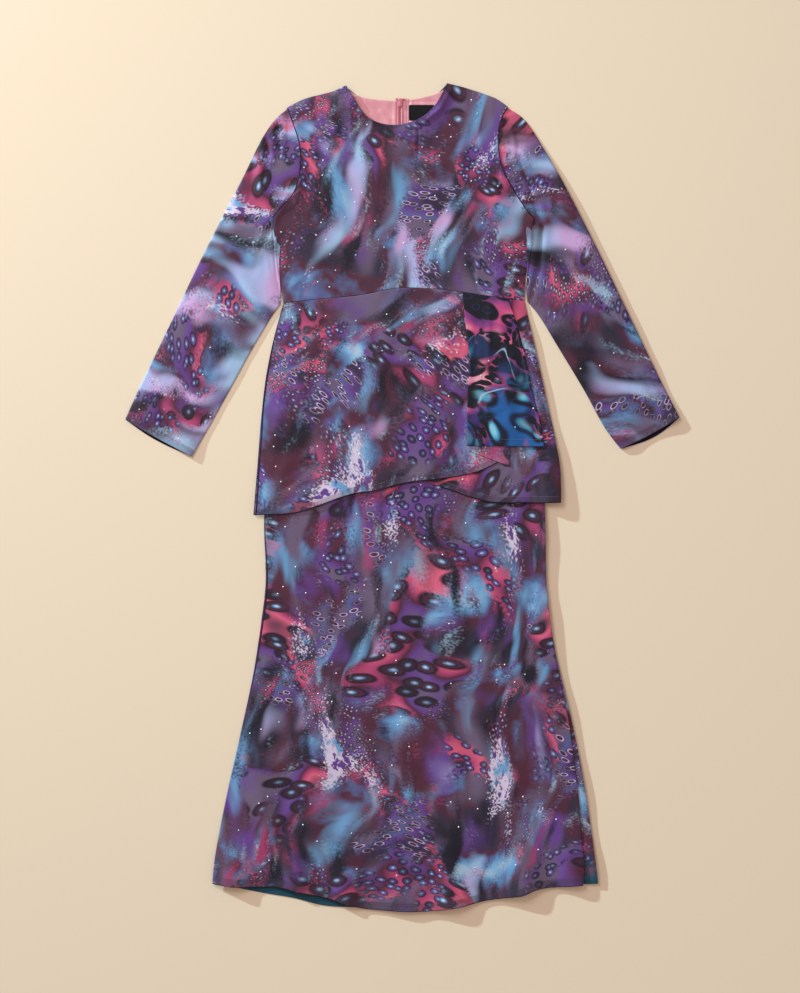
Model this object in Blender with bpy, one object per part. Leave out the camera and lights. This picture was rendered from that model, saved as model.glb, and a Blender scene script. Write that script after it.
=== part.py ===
"""A baju kurung laid flat on its back: a long-sleeved blouse with a wrapped peplum over a flared skirt.

The cloth lies on the surface z = 0. +Y runs toward the neck, +X to the right as seen from above, +Z is up.
The origin is the middle of the footprint. Sizes and tables are in millimetres and become metres in the mesh.
Each cloth piece is a patch between four edges. Its underside follows a height function, and its wall
rises from there.
"""

import math

import bmesh
import bpy
from mathutils import Vector

MM = 0.001

# Cloth and seams
WALL = 1.0
SEAM = 0.3
LAY = 0.4
WAIST_SEAM = 0.5

# Heights of the undersides, from the surface up through the layers
ON_BACK = WALL + SEAM
SKIRT_FRONT_IN = ON_BACK + WALL + SEAM
PEPLUM_LOW = SKIRT_FRONT_IN + WALL + LAY
PEPLUM_HIGH = PEPLUM_LOW + WALL + SEAM
DRAPE_LOW = PEPLUM_HIGH + WALL + SEAM
DRAPE_HIGH = DRAPE_LOW + WALL + SEAM
SLEEVE_END_GAP = 0.9
ARMHOLE_LAP = ON_BACK + 2 * WALL + SLEEVE_END_GAP + LAY
BODICE_MID = 3.5
BODICE_WAIST_RIGHT = 4.9

# Centre-back zip
ZIP_X = -3.6
ZIP_TOP = 687.0
ZIP_FOOT = 366.0
CHAIN_HALF = 1.1
TAPE_IN = CHAIN_HALF + SEAM
TAPE_LEFT_OUT = 5.4
TAPE_RIGHT_OUT = 15.1
SLOT_HALF = 2.6
SLIDER_LENGTH = 14.0
HINGE_Y = 685.6
HINGE_Z = 0.55

# The back's lining is built down to here, and the label sits on its right half
LINING_FOOT = 600
LABEL_LOW = (11, 649)
LABEL_HIGH = (56, 676)

# Edge tables, columns: x, y
SIDE_LEFT = ((-205, 335), (-213, 382), (-218, 426), (-221, 457), (-228, 477))
ARMHOLE_LEFT = ((-228, 477), (-210, 498), (-190, 521), (-181, 543), (-176, 581), (-179, 612), (-190, 646),
                (-199, 671))
SHOULDER_LEFT = ((-199, 671), (-167, 687), (-124, 698), (-96, 708))
NECK_FRONT = ((-96, 708), (-87, 694), (-73, 670), (-54, 651), (-25, 642), (6, 644), (34, 655), (55, 674),
              (67, 693), (77, 713))
SHOULDER_RIGHT = ((77, 713), (110, 705), (161, 687), (182, 672))
SIDE_RIGHT = ((210, 339), (212, 380), (217, 412), (221, 452), (226, 480))
ARMHOLE_RIGHT = ((226, 480), (211, 500), (189, 534), (173, 567), (166, 605), (169, 646), (182, 672))
WAIST = ((-205, 335), (-142, 342), (-71, 349), (-4, 361), (79, 357), (134, 349), (210, 339))
NECK_BACK_LEFT = ((-96, 708), (-88, 698), (-68, 689), (-26, 683.5), (-4, 683))
NECK_BACK_RIGHT = ((-4, 683), (22, 686), (60, 696), (77, 713))

SLEEVE_LEFT_END = ((-196, 671), (-186, 646), (-175, 612), (-172, 581), (-177, 543), (-186, 519), (-212, 492))
SLEEVE_LEFT_OUTER = ((-477, 135), (-455, 184), (-405, 288), (-339, 426), (-277, 546), (-241, 619),
                     (-219, 651), (-196, 671))
SLEEVE_LEFT_INNER = ((-363, 71), (-334, 120), (-298, 185), (-255, 263), (-224, 314), (-209, 337), (-215, 382),
                     (-220.5, 426), (-224, 460), (-212, 492))
SLEEVE_LEFT_CUFF = ((-477, 135), (-434, 109), (-363, 71))
SLEEVE_RIGHT_END = ((179, 672), (165, 646), (162, 605), (169, 567), (185, 532), (208, 495))
SLEEVE_RIGHT_OUTER = ((477, 138), (440, 211), (378, 340), (328, 443), (275, 546), (239, 608), (209, 652),
                      (179, 672))
SLEEVE_RIGHT_INNER = ((376, 84), (350, 118), (313, 185), (266, 263), (235, 314), (214, 341), (215, 380),
                      (219.5, 412), (223.5, 455), (208, 495))
SLEEVE_RIGHT_CUFF = ((477, 138), (426, 108), (376, 84))

PEPLUM_SIDE_LEFT = ((-256, -30), (-250, 48), (-238, 185), (-224, 263), (-205, 335))
PEPLUM_SIDE_RIGHT = ((273, -9), (271, 56), (259, 116), (239, 211), (210, 339))
BACK_SIDE_LEFT = ((-255, -25), (-250, 48), (-238, 185), (-224, 263), (-205, 334.7))
BACK_SIDE_RIGHT = ((272, -5), (271, 56), (259, 116), (239, 211), (210, 338.7))
PEPLUM_BACK_HEM = ((-255, -25), (0, -14), (272, -5))
OVER_HEM = ((-256, -30), (-189, -27), (-142, -13), (-87, 6), (-32, 14), (-4, 24), (79, 34), (128, 44),
            (165, 61))
OVER_END = ((165, 61), (158, 200), (150, 345.8))
UNDER_HEM = ((-30, 37), (32, 29), (82, 13), (147, -7), (202, -9), (273, -9))
UNDER_END = ((-30, 37), (-24, 200), (-20, 358.5))
DRAPE_LEFT = ((111, 89), (112, 182), (116, 232), (110, 288), (103, 353.2))
DRAPE_RIGHT = ((244, 88), (235, 139), (223, 189), (199, 292), (181, 342.2))
DRAPE_HEM = ((111, 89), (244, 88))
CASCADE_HEM = ((113, 81), (150, 67), (185, 54))
CASCADE_LEFT = ((113, 81), (112, 128))
CASCADE_RIGHT = ((185, 54), (184, 122))
CASCADE_TOP = ((112, 128), (184, 122))

SKIRT_TOP = 245
BAND_HEIGHT = 30
SKIRT_LEFT = ((-327, -664), (-322, -615), (-302, -511), (-279, -408), (-257, -305), (-245, -228),
              (-235, -140), (-238, -47), (-231, 65), (-205, 185), (-176, SKIRT_TOP))
SKIRT_RIGHT = ((337, -664), (331, -615), (316, -511), (297, -408), (273, -305), (257, -228), (248, -140),
               (247, -47), (239, 65), (206, 185), (177, SKIRT_TOP))
FRONT_SEAM_RIGHT = ((311, -667), (314, -652), (308, -581), (304, -522), (294, -443), (285, -379), (264, -279),
                    (247, -140), (246, -47), (238, 65), (205, 185), (176, SKIRT_TOP))
SKIRT_FRONT_HEM = ((-327, -664), (-283, -670), (-213, -671), (-174, -680), (-107, -695), (-87, -704),
                   (-6, -712), (51, -711), (111, -702), (141, -694), (218, -682), (232, -674),
                   (286, -669), (311, -667))
SKIRT_BACK_HEM = ((-327, -664), (-289, -670), (-264, -678), (-221, -683), (-179, -691), (-121, -704),
                  (-4, -702), (111, -692), (220, -672), (337, -664))
SKIRT_TOP_EDGE = ((-176, SKIRT_TOP), (176, SKIRT_TOP))

# Soft folds, columns: x and y of one end, x and y of the other, half width, height (a trough is negative)
BODICE_FOLDS = ((-222, 470, -110, 425, 20, 1.1), (-205, 400, -95, 395, 16, -0.6),
                (222, 470, 115, 410, 20, 1.1), (170, 640, 125, 500, 18, 0.8), (-150, 665, -118, 520, 18, 0.9),
                (-40, 628, -26, 500, 16, 0.6), (60, 620, 78, 470, 18, -0.7), (-100, 350, -62, 450, 18, 0.8),
                (120, 352, 98, 455, 20, 0.8), (5, 365, 12, 430, 16, -0.6))
SLEEVE_FOLDS = ((-250, 600, -235, 510, 11, 0.9), (-222, 630, -212, 540, 9, -1.0),
                (-300, 470, -240, 430, 20, 0.8), (-370, 330, -290, 300, 22, 0.9),
                (-420, 210, -350, 170, 20, 0.8), (-215, 500, -232, 400, 16, 1.0),
                (205, 590, 236, 470, 13, -1.6), (236, 470, 226, 350, 12, -1.5), (222, 640, 250, 500, 14, 1.0),
                (300, 470, 250, 420, 18, 0.8), (330, 300, 400, 330, 22, 0.8), (390, 170, 440, 190, 18, 0.7))
OVER_FOLDS = ((-150, 330, -200, 20, 20, 1.0), (-60, 340, -110, 20, 24, 1.2), (10, 345, -20, 40, 18, -0.5),
              (60, 345, 40, 60, 22, 0.9), (-215, 120, -240, -20, 14, 0.8), (90, 200, 110, 50, 16, 0.7))
UNDER_FOLDS = ((232, 60, 242, -5, 12, 1.0), (190, 60, 200, -5, 12, 0.9), (150, 40, 140, -5, 14, 0.6))
SKIRT_FOLDS = ((-276, -675, -205, -330, 24, 1.5), (-225, -685, -165, -400, 18, -1.1),
               (-176, -688, -112, -290, 26, 1.6), (-107, -703, -52, -430, 18, 1.1),
               (-60, -700, -10, -330, 18, -0.9),
               (0, -712, 12, -360, 26, 1.1), (94, -706, 62, -280, 24, 1.6), (155, -695, 108, -440, 17, -1.1),
               (216, -682, 150, -250, 24, 1.6), (262, -675, 205, -380, 16, -1.0),
               (300, -668, 236, -330, 16, 1.2),
               (-190, -100, -60, -200, 26, 0.8), (180, -90, 90, -230, 26, 0.8))


def smooth(t):
    """Soft step from 0 to 1."""
    t = min(max(t, 0.0), 1.0)
    return t * t * (3.0 - 2.0 * t)


def mix(a, b, t):
    return a + (b - a) * t


def curve(rows, t):
    """Point at t (0 to 1) on a smooth curve through the rows of a table."""
    points = [Vector(row) for row in rows]
    stops = [0.0]
    for a, b in zip(points, points[1:]):
        stops.append(stops[-1] + (b - a).length)
    at = min(max(t, 0.0), 1.0) * stops[-1]
    k = 0
    while k < len(points) - 2 and stops[k + 1] < at:
        k += 1

    def slope(i):
        low = max(i - 1, 0)
        high = min(i + 1, len(points) - 1)
        return (points[high] - points[low]) / (stops[high] - stops[low])

    span = stops[k + 1] - stops[k]
    s = (at - stops[k]) / span
    start = points[k] * (2 * s**3 - 3 * s**2 + 1) + slope(k) * span * (s**3 - 2 * s**2 + s)
    end = points[k + 1] * (3 * s**2 - 2 * s**3) + slope(k + 1) * span * (s**3 - s**2)
    return start + end


def joined(*stretches):
    """An edge of several curves, each (table, share of the edge), read from 0 to 1."""

    def at(t):
        start = 0.0
        for table, share in stretches:
            if t <= start + share + 1e-9:
                return curve(table, (t - start) / share)
            start += share
        return curve(stretches[-1][0], 1.0)

    return at


def along_waist(from_x, to_x):
    """The stretch of the waist seam between two places, as an edge from 0 to 1."""
    edge = joined((WAIST, 1.0))

    def found(x):
        low, high = 0.0, 1.0
        for _ in range(30):
            middle = (low + high) / 2
            if edge(middle).x < x:
                low = middle
            else:
                high = middle
        return low

    start, end = found(from_x), found(to_x)
    return lambda t: edge(mix(start, end, t))


def patch(bottom, right, top, left):
    """Plan of a piece between four edges: left and right run up, bottom and top run to the right.

    The bottom and top edges are kept exactly. The side edges lean a little where they end off a corner.
    """

    def at(u, v):
        across = bottom(u) * (1 - v) + top(u) * v
        along = left(v) * (1 - u) + right(v) * u
        low = left(0) * (1 - u) + right(0) * u
        high = left(1) * (1 - u) + right(1) * u
        return across + along - (low * (1 - v) + high * v)

    return at


def folds(table, x, y):
    """Sum of the soft ridges and troughs of a table at one point."""
    total = 0.0
    here = Vector((x, y))
    for x0, y0, x1, y1, half_width, height in table:
        start = Vector((x0, y0))
        run = Vector((x1, y1)) - start
        t = (here - start).dot(run) / run.length_squared
        aside = (here - start - run * min(max(t, 0.0), 1.0)).length
        total += height * math.exp(-((aside / half_width) ** 2))
    return total


def crowded(t, amount):
    """Moves evenly spaced steps toward both ends."""
    return t - amount * math.sin(2 * math.pi * t) / (2 * math.pi)


def new_object(name, bm, material, is_smooth=True):
    bmesh.ops.recalc_face_normals(bm, faces=bm.faces[:])
    mesh = bpy.data.meshes.new(name)
    bm.to_mesh(mesh)
    bm.free()
    if is_smooth:
        mesh.shade_smooth()
        mesh.set_sharp_from_angle(angle=math.radians(40))
    mesh.materials.append(material)
    obj = bpy.data.objects.new(name, mesh)
    bpy.context.collection.objects.link(obj)
    return obj


def make_material(name, colour, roughness, metallic=0.0):
    material = bpy.data.materials.new(name)
    material.use_nodes = True
    shader = material.node_tree.nodes["Principled BSDF"]
    shader.inputs["Base Color"].default_value = (*colour, 1.0)
    shader.inputs["Roughness"].default_value = roughness
    shader.inputs["Metallic"].default_value = metallic
    return material


def cloth(name, plan, height, columns, rows, material, crowd=0.0):
    """A cloth wall: the grid is the underside, and the extruded copy is the upper side."""
    bm = bmesh.new()
    bmesh.ops.create_grid(bm, x_segments=columns, y_segments=rows, size=1.0)
    for vertex in bm.verts:
        u = crowded((vertex.co.x + 1) / 2, crowd)
        v = (vertex.co.y + 1) / 2
        place = plan(u, v)
        z = height(place.x, place.y, u, v)
        vertex.co = Vector((place.x, place.y, z)) * MM
    top = bmesh.ops.extrude_face_region(bm, geom=bm.faces[:])
    moved = [item for item in top["geom"] if isinstance(item, bmesh.types.BMVert)]
    bmesh.ops.translate(bm, verts=moved, vec=(0, 0, WALL * MM))
    return new_object(name, bm, material)


def flat(level):
    return lambda x, y, u, v: level


def tube(name, plan, base, gap, across, along, material):
    """A flattened sleeve or band: an open tube whose lower and upper cloth lie on each other."""
    ring = 2 * across + 2
    inset = 1.2

    def point(i, v, is_inner):
        is_upper = i > across
        k = ring - 1 - i if is_upper else i
        u = k / across
        width = (plan(1, v) - plan(0, v)).length
        if is_inner:
            u = mix(inset / width, 1 - inset / width, u)
        place = plan(u, v)
        bottom = base(place.x, place.y, u, v)
        top = bottom + 2 * WALL + gap(place.x, place.y, u, v)
        z = top if is_upper else bottom
        if is_inner:
            z += -WALL if is_upper else WALL
        return Vector((place.x, place.y, z)) * MM

    bm = bmesh.new()
    bmesh.ops.create_grid(bm, x_segments=ring, y_segments=along, size=1.0)
    turn = bm.verts.layers.int.new("turn")
    station = bm.verts.layers.int.new("station")
    for vertex in bm.verts:
        vertex[turn] = round((vertex.co.x + 1) / 2 * ring) % ring
        vertex[station] = round((vertex.co.y + 1) / 2 * along)
        vertex.co = point(vertex[turn], vertex[station] / along, False)
    bmesh.ops.remove_doubles(bm, verts=bm.verts[:], dist=1e-6)
    made = bmesh.ops.extrude_face_region(bm, geom=bm.faces[:])
    for item in made["geom"]:
        if isinstance(item, bmesh.types.BMVert):
            item.co = point(item[turn], item[station] / along, True)
    return new_object(name, bm, material)


def box(bm, low, high):
    """A box between two corners, in millimetres."""
    low = Vector(low)
    high = Vector(high)
    bmesh.ops.create_cube(bm, size=1.0)
    bmesh.ops.scale(bm, verts=bm.verts[:], vec=(high - low) * MM)
    bmesh.ops.translate(bm, verts=bm.verts[:], vec=(high + low) / 2 * MM)


def round_upright(bm, edges, radius, segments):
    """Rounds those of the edges that stand upright."""
    upright = [edge for edge in edges if abs(edge.verts[0].co.z - edge.verts[1].co.z) > 0.5 * MM]
    bmesh.ops.bevel(bm, geom=upright, offset=radius * MM, segments=segments, profile=0.5, affect="EDGES",
                    material=-1)


def block(name, low, high, radius, material):
    """A small plain block between two corners, its upright edges rounded."""
    bm = bmesh.new()
    box(bm, low, high)
    round_upright(bm, bm.edges, radius, 3)
    return new_object(name, bm, material)


def side_distance(plan, u, v):
    return min(u, 1 - u) * (plan(1, v) - plan(0, v)).length


def bodice_edges():
    left = joined((SIDE_LEFT, 0.4), (ARMHOLE_LEFT, 0.6))
    right = joined((SIDE_RIGHT, 0.4), (ARMHOLE_RIGHT, 0.6))
    return left, right


def build_bodice_front(material):
    left, right = bodice_edges()
    bottom = joined((WAIST, 1.0))
    top = joined((SHOULDER_LEFT, 0.25), (NECK_FRONT, 0.5), (SHOULDER_RIGHT, 0.25))
    plan = patch(bottom, right, top, left)

    # Edge heights, columns: place along the edge, height
    side_heights = ((0.0, ON_BACK), (0.2, ON_BACK), (0.36, ARMHOLE_LAP), (0.9, ARMHOLE_LAP), (1.0, 4.0))
    top_heights = ((0.0, 4.0), (0.07, 1.9), (0.14, 1.7), (0.2, 2.9), (0.33, 3.1), (0.5, 3.5), (0.6, 4.1),
                   (0.71, 4.1), (0.75, 3.4), (0.8, 2.9), (0.86, 1.7), (0.93, 1.9), (1.0, 4.0))

    def height(x, y, u, v):
        z = BODICE_MID + folds(BODICE_FOLDS, x, y)
        waist = mix(PEPLUM_LOW, BODICE_WAIST_RIGHT, smooth((u - 0.4) / 0.25))
        z = mix(read(top_heights, u), z, smooth((1 - v) * 300 / 60))
        z = mix(waist, z, smooth(v * 340 / 30))
        return mix(read(side_heights, v), z, smooth(side_distance(plan, u, v) / 24))

    return cloth("bodice_front", plan, height, 24, 20, material, 0.35)


def read(table, t):
    """Straight reading between the rows of a two-column table."""
    for (t0, a), (t1, b) in zip(table, table[1:]):
        if t <= t1:
            return mix(a, b, (t - t0) / (t1 - t0))
    return table[-1][1]


def ending_at(edge, end, x):
    """The same edge, its stretch near one end (0 or 1) eased over so that it ends at x."""
    shift = x - edge(end).x

    def at(t):
        near = t if end else 1 - t
        return edge(t) + Vector((shift * near**4, 0))

    return at


def build_bodice_back(material):
    left, right = bodice_edges()

    # Half gap at the zip, columns: y, distance from the zip's line
    slot = ((361, SEAM), (640, SEAM), (662, SLOT_HALF), (690, SLOT_HALF))

    def centre(side):
        def at(t):
            y = mix(361, 683, t)
            return Vector((ZIP_X + side * read(slot, y), y))

        return at

    bottom = along_waist(-205, ZIP_X - SEAM)
    top = ending_at(joined((SHOULDER_LEFT, 0.4), (NECK_BACK_LEFT, 0.6)), 1, ZIP_X - SLOT_HALF)
    cloth("bodice_back_left", patch(bottom, centre(-1), top, left), flat(0), 7, 14, material)

    bottom = along_waist(ZIP_X + SEAM, 210)
    top = ending_at(joined((NECK_BACK_RIGHT, 0.6), (SHOULDER_RIGHT, 0.4)), 0, ZIP_X + SLOT_HALF)
    cloth("bodice_back_right", patch(bottom, right, top, centre(1)), flat(0), 7, 14, material)


def build_back_lining(material):
    """The pink lining of the back, in two halves beside the zip, down to a hand's width under the front."""

    def upright(foot_x, top_x, top_y):
        return lambda t: Vector((mix(foot_x, top_x, t), mix(LINING_FOOT, top_y, t)))

    def foot(from_x, to_x):
        return lambda t: Vector((mix(from_x, to_x, t), LINING_FOOT))

    inner_x = ZIP_X - TAPE_LEFT_OUT - SEAM
    neck = ((-89, 699), (-82, 694.5), (-66, 688.6), (-26, 683.6), (inner_x, 683))
    plan = patch(foot(-104, inner_x), upright(inner_x, inner_x, 683), joined((neck, 1.0)),
                 upright(-104, -89, 699))
    cloth("back_lining_left", plan, flat(ON_BACK), 8, 4, material)

    inner_x = ZIP_X + TAPE_RIGHT_OUT + SEAM
    neck = ((inner_x, 684.6), (35, 689), (57, 695), (71, 702))
    plan = patch(foot(inner_x, 90), upright(90, 71, 702), joined((neck, 1.0)),
                 upright(inner_x, inner_x, 684.6))
    cloth("back_lining_right", plan, flat(ON_BACK), 8, 4, material)


def build_label(material):
    underside = ON_BACK + WALL + SEAM
    block("neck_label", (*LABEL_LOW, underside), (*LABEL_HIGH, underside + 0.9), 3, material)


def build_zip(tape, metal):
    """Concealed zip: two tapes, the closed chain between them, the slider, and the pull behind the cloth."""
    upper = ON_BACK + WALL
    block("zip_tape_left", (ZIP_X - TAPE_LEFT_OUT, ZIP_FOOT, ON_BACK), (ZIP_X - TAPE_IN, ZIP_TOP, upper), 0.8,
          tape)
    block("zip_tape_right", (ZIP_X + TAPE_IN, ZIP_FOOT, ON_BACK), (ZIP_X + TAPE_RIGHT_OUT, ZIP_TOP, upper),
          1.2, tape)
    block("zip_chain", (ZIP_X - CHAIN_HALF, ZIP_FOOT, ON_BACK), (ZIP_X + CHAIN_HALF, 684.4, 2.9), 0.3, tape)
    build_slider(metal)
    build_pull(metal)


def cut_at(bm, places):
    """Adds edge loops on planes, each (axis, place in millimetres)."""
    for axis, place in places:
        normal = Vector((axis == "x", axis == "y", axis == "z"))
        bmesh.ops.bisect_plane(bm, geom=bm.faces[:] + bm.edges[:] + bm.verts[:], plane_co=normal * place * MM,
                               plane_no=normal)


def push(bm, is_chosen, offset):
    """Extrudes the faces whose middle passes the test, by an offset in millimetres."""
    chosen = [face for face in bm.faces if is_chosen(face.calc_center_median() / MM, face.normal)]
    made = bmesh.ops.extrude_face_region(bm, geom=chosen)
    bmesh.ops.delete(bm, geom=chosen, context="FACES")
    moved = [item for item in made["geom"] if isinstance(item, bmesh.types.BMVert)]
    bmesh.ops.translate(bm, verts=moved, vec=Vector(offset) * MM)


def build_slider(material):
    """The slider's body lies over the chain, and its lug reaches down past the neck edge to the pull."""
    low_z = 3.2
    lug = 0.7
    bm = bmesh.new()
    box(bm, (ZIP_X - 4, ZIP_TOP - SLIDER_LENGTH, low_z), (ZIP_X + 4, ZIP_TOP, low_z + 1.6))
    round_upright(bm, bm.edges, 1.6, 3)
    for vertex in bm.verts:
        toward_foot = smooth((ZIP_TOP - vertex.co.y / MM) / SLIDER_LENGTH)
        vertex.co.x = (ZIP_X + (vertex.co.x / MM - ZIP_X) * mix(1.0, 0.72, toward_foot)) * MM
    cut_at(bm, (("x", ZIP_X - lug), ("x", ZIP_X + lug), ("y", HINGE_Y - lug), ("y", HINGE_Y + lug)))

    def is_lug(middle, normal):
        return normal.z < -0.9 and abs(middle.x - ZIP_X) < lug and abs(middle.y - HINGE_Y) < lug

    push(bm, is_lug, (0, 0, 0.2 - low_z))
    new_object("zip_slider", bm, material)


def build_pull(material):
    """The pull hangs behind the cloth. Its fork straddles the slider's lug, with the hinge across the lug."""
    length = 17.0
    half = 2.3
    crotch = HINGE_Y - 3.6
    prong = 1.0
    low_z = HINGE_Z - 0.4
    bm = bmesh.new()
    box(bm, (ZIP_X - half, HINGE_Y - length, low_z), (ZIP_X + half, crotch, low_z + 0.8))
    round_upright(bm, [edge for edge in bm.edges if edge.verts[0].co.y < (crotch - 1) * MM], 1.9, 4)
    cut_at(bm, (("x", ZIP_X - prong), ("x", ZIP_X + prong)))
    bm.normal_update()

    def is_prong(middle, normal):
        return normal.y > 0.9 and abs(middle.x - ZIP_X) > prong

    push(bm, is_prong, (0, HINGE_Y + 0.4 - crotch, 0))
    new_object("zip_pull", bm, material)


def sleeve(name, cuff, end, outer, inner, seam, side, material):
    """A set-in sleeve: sandwiched at the armhole, flat on the surface from the upper arm to the open cuff.

    The edges run from the outer (u = 0) to the inner side and from the cuff (v = 0) to the armhole.
    """

    def plan(u, v):
        straight_end = mix(end(0), end(1), u)
        straight_cuff = mix(cuff(0), cuff(1), u)
        across = mix(outer(v), inner(v), u)
        return (across + (end(u) - straight_end) * smooth((v - 0.84) / 0.16)
                + (cuff(u) - straight_cuff) * (1 - smooth(v / 0.2)))

    def lap(x, y):
        """1 where the sleeve is between the bodice's layers, easing to 0 outside the armhole."""
        outside = (x - read(seam, y)) * side
        return (1 - smooth((outside - 10) / 50)) * smooth((y - 395) / 30)

    def base(x, y, u, v):
        return ON_BACK * lap(x, y)

    def gap(x, y, u, v):
        free = 1 - lap(x, y)
        full = mix(SLEEVE_END_GAP, 2.5 + folds(SLEEVE_FOLDS, x, y), free)
        full = mix(1.7, full, smooth(v / 0.1))
        return mix(0.3, max(full, 0.5), smooth(min(u, 1 - u) / 0.17))

    return tube(name, plan, base, gap, 8, 20, material)


def build_sleeves(material):
    """Both sleeves. The seam tables give the bodice's edge as rows of y, x."""
    seam = tuple((y, x) for x, y in SIDE_LEFT + ARMHOLE_LEFT[1:])
    sleeve("sleeve_left", joined((SLEEVE_LEFT_CUFF, 1.0)), joined((SLEEVE_LEFT_END, 1.0)),
           joined((SLEEVE_LEFT_OUTER, 1.0)), joined((SLEEVE_LEFT_INNER, 1.0)), seam, -1, material)
    seam = tuple((y, x) for x, y in SIDE_RIGHT + ARMHOLE_RIGHT[1:])
    sleeve("sleeve_right", joined((SLEEVE_RIGHT_CUFF, 1.0)), joined((SLEEVE_RIGHT_END, 1.0)),
           joined((SLEEVE_RIGHT_OUTER, 1.0)), joined((SLEEVE_RIGHT_INNER, 1.0)), seam, 1, material)


def lowered(edge, drop):
    """The same edge a little nearer the hem, so that a seam keeps its gap."""
    return lambda t: edge(t) - Vector((0, drop))


def build_peplum_back(material):
    left_half = along_waist(-205, ZIP_X - SEAM)
    right_half = along_waist(ZIP_X + SEAM, 210)
    top = lowered(lambda t: left_half(2 * t) if t < 0.5 else right_half(2 * t - 1), SEAM)
    plan = patch(joined((PEPLUM_BACK_HEM, 1.0)), joined((BACK_SIDE_RIGHT, 1.0)), top,
                 joined((BACK_SIDE_LEFT, 1.0)))
    return cloth("peplum_back", plan, flat(0), 14, 4, material)


def build_peplum_under(material):
    plan = patch(joined((UNDER_HEM, 1.0)), joined((PEPLUM_SIDE_RIGHT, 1.0)),
                 lowered(along_waist(-20, 210), WAIST_SEAM), joined((UNDER_END, 1.0)))

    def height(x, y, u, v):
        width = (plan(1, v) - plan(0, v)).length
        shows = smooth((x - 150) / 40)
        z = PEPLUM_LOW + folds(UNDER_FOLDS, x, y) * shows
        return mix(ON_BACK, z, smooth((1 - u) * width / 20))

    return cloth("peplum_front_under", plan, height, 14, 12, material, 0.45)


def over_level(x):
    """The over layer steps up where the under layer lies beneath it."""
    return mix(PEPLUM_LOW, PEPLUM_HIGH, smooth((x + 75) / 35))


def build_peplum_over(material):
    plan = patch(joined((OVER_HEM, 1.0)), joined((OVER_END, 1.0)),
                 lowered(along_waist(-205, 150), WAIST_SEAM), joined((PEPLUM_SIDE_LEFT, 1.0)))

    def height(x, y, u, v):
        width = (plan(1, v) - plan(0, v)).length
        hidden = smooth((x - 85) / 25)
        z = over_level(x) + max(folds(OVER_FOLDS, x, y), 0.0) * smooth((1 - v) * 340 / 40) * (1 - hidden)
        return mix(ON_BACK, z, smooth(u * width / 20))

    return cloth("peplum_front_over", plan, height, 20, 14, material, 0.45)


def build_cascade(material):
    plan = patch(joined((CASCADE_HEM, 1.0)), joined((CASCADE_RIGHT, 1.0)), joined((CASCADE_TOP, 1.0)),
                 joined((CASCADE_LEFT, 1.0)))
    return cloth("peplum_cascade", plan, flat(DRAPE_LOW), 6, 4, material)


def build_side_drape(material):
    plan = patch(joined((DRAPE_HEM, 1.0)), joined((DRAPE_RIGHT, 1.0)),
                 lowered(along_waist(103, 181), WAIST_SEAM), joined((DRAPE_LEFT, 1.0)))

    def height(x, y, u, v):
        over_the_end = 1 - smooth((x - 172) / 28)
        z = mix(PEPLUM_HIGH + 0.1, DRAPE_LOW, over_the_end)
        over_the_cascade = smooth((160 - y) / 25) * (1 - smooth((x - 190) / 25))
        return mix(z, DRAPE_HIGH, over_the_cascade)

    return cloth("side_drape", plan, height, 8, 12, material)


def back_level(y):
    """Skirt back: inside the blouse it lies on the peplum back, and below the hem on the surface."""
    return ON_BACK * smooth((y + 140) / 80)


def build_skirt_back(material):
    plan = patch(joined((SKIRT_BACK_HEM, 1.0)), joined((SKIRT_RIGHT, 1.0)), joined((SKIRT_TOP_EDGE, 1.0)),
                 joined((SKIRT_LEFT, 1.0)))
    return cloth("skirt_back", plan, lambda x, y, u, v: back_level(y), 14, 16, material)


def build_skirt_front(material):
    plan = patch(joined((SKIRT_FRONT_HEM, 1.0)), joined((FRONT_SEAM_RIGHT, 1.0)),
                 joined((SKIRT_TOP_EDGE, 1.0)), joined((SKIRT_LEFT, 1.0)))

    def height(x, y, u, v):
        low = back_level(y) + ON_BACK
        free = smooth((-45 - y) / 90)
        raised = 1.5 + folds(SKIRT_FOLDS, x, y)
        raised = min(max(raised, 0.2), 3.3)
        return low + raised * free * smooth(side_distance(plan, u, v) / 30)

    return cloth("skirt_front", plan, height, 26, 26, material, 0.2)


def build_waistband(material):
    half = 176
    low = SKIRT_TOP + WALL + SEAM
    high = low + BAND_HEIGHT

    def plan(u, v):
        return Vector((mix(-half, half, u), mix(low, high, v)))

    return tube("skirt_waistband", plan, flat(ON_BACK), flat(SEAM), 8, 2, material)


def main():
    for obj in list(bpy.data.objects):
        bpy.data.objects.remove(obj)
    print_cloth = make_material("printed_chiffon", (0.12, 0.07, 0.16), 0.65)
    dark_cloth = make_material("printed_crepe_dark", (0.02, 0.02, 0.05), 0.6)
    lining = make_material("lining_satin", (0.69, 0.24, 0.29), 0.5)
    label = make_material("woven_label", (0.01, 0.01, 0.012), 0.6)
    metal = make_material("painted_zip_metal", (0.62, 0.2, 0.26), 0.4, 0.3)
    build_bodice_back(print_cloth)
    build_back_lining(lining)
    build_zip(lining, metal)
    build_label(label)
    build_sleeves(print_cloth)
    build_bodice_front(print_cloth)
    build_peplum_back(print_cloth)
    build_skirt_back(print_cloth)
    build_skirt_front(print_cloth)
    build_waistband(lining)
    build_peplum_under(print_cloth)
    build_peplum_over(print_cloth)
    build_cascade(print_cloth)
    build_side_drape(dark_cloth)


main()
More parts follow.
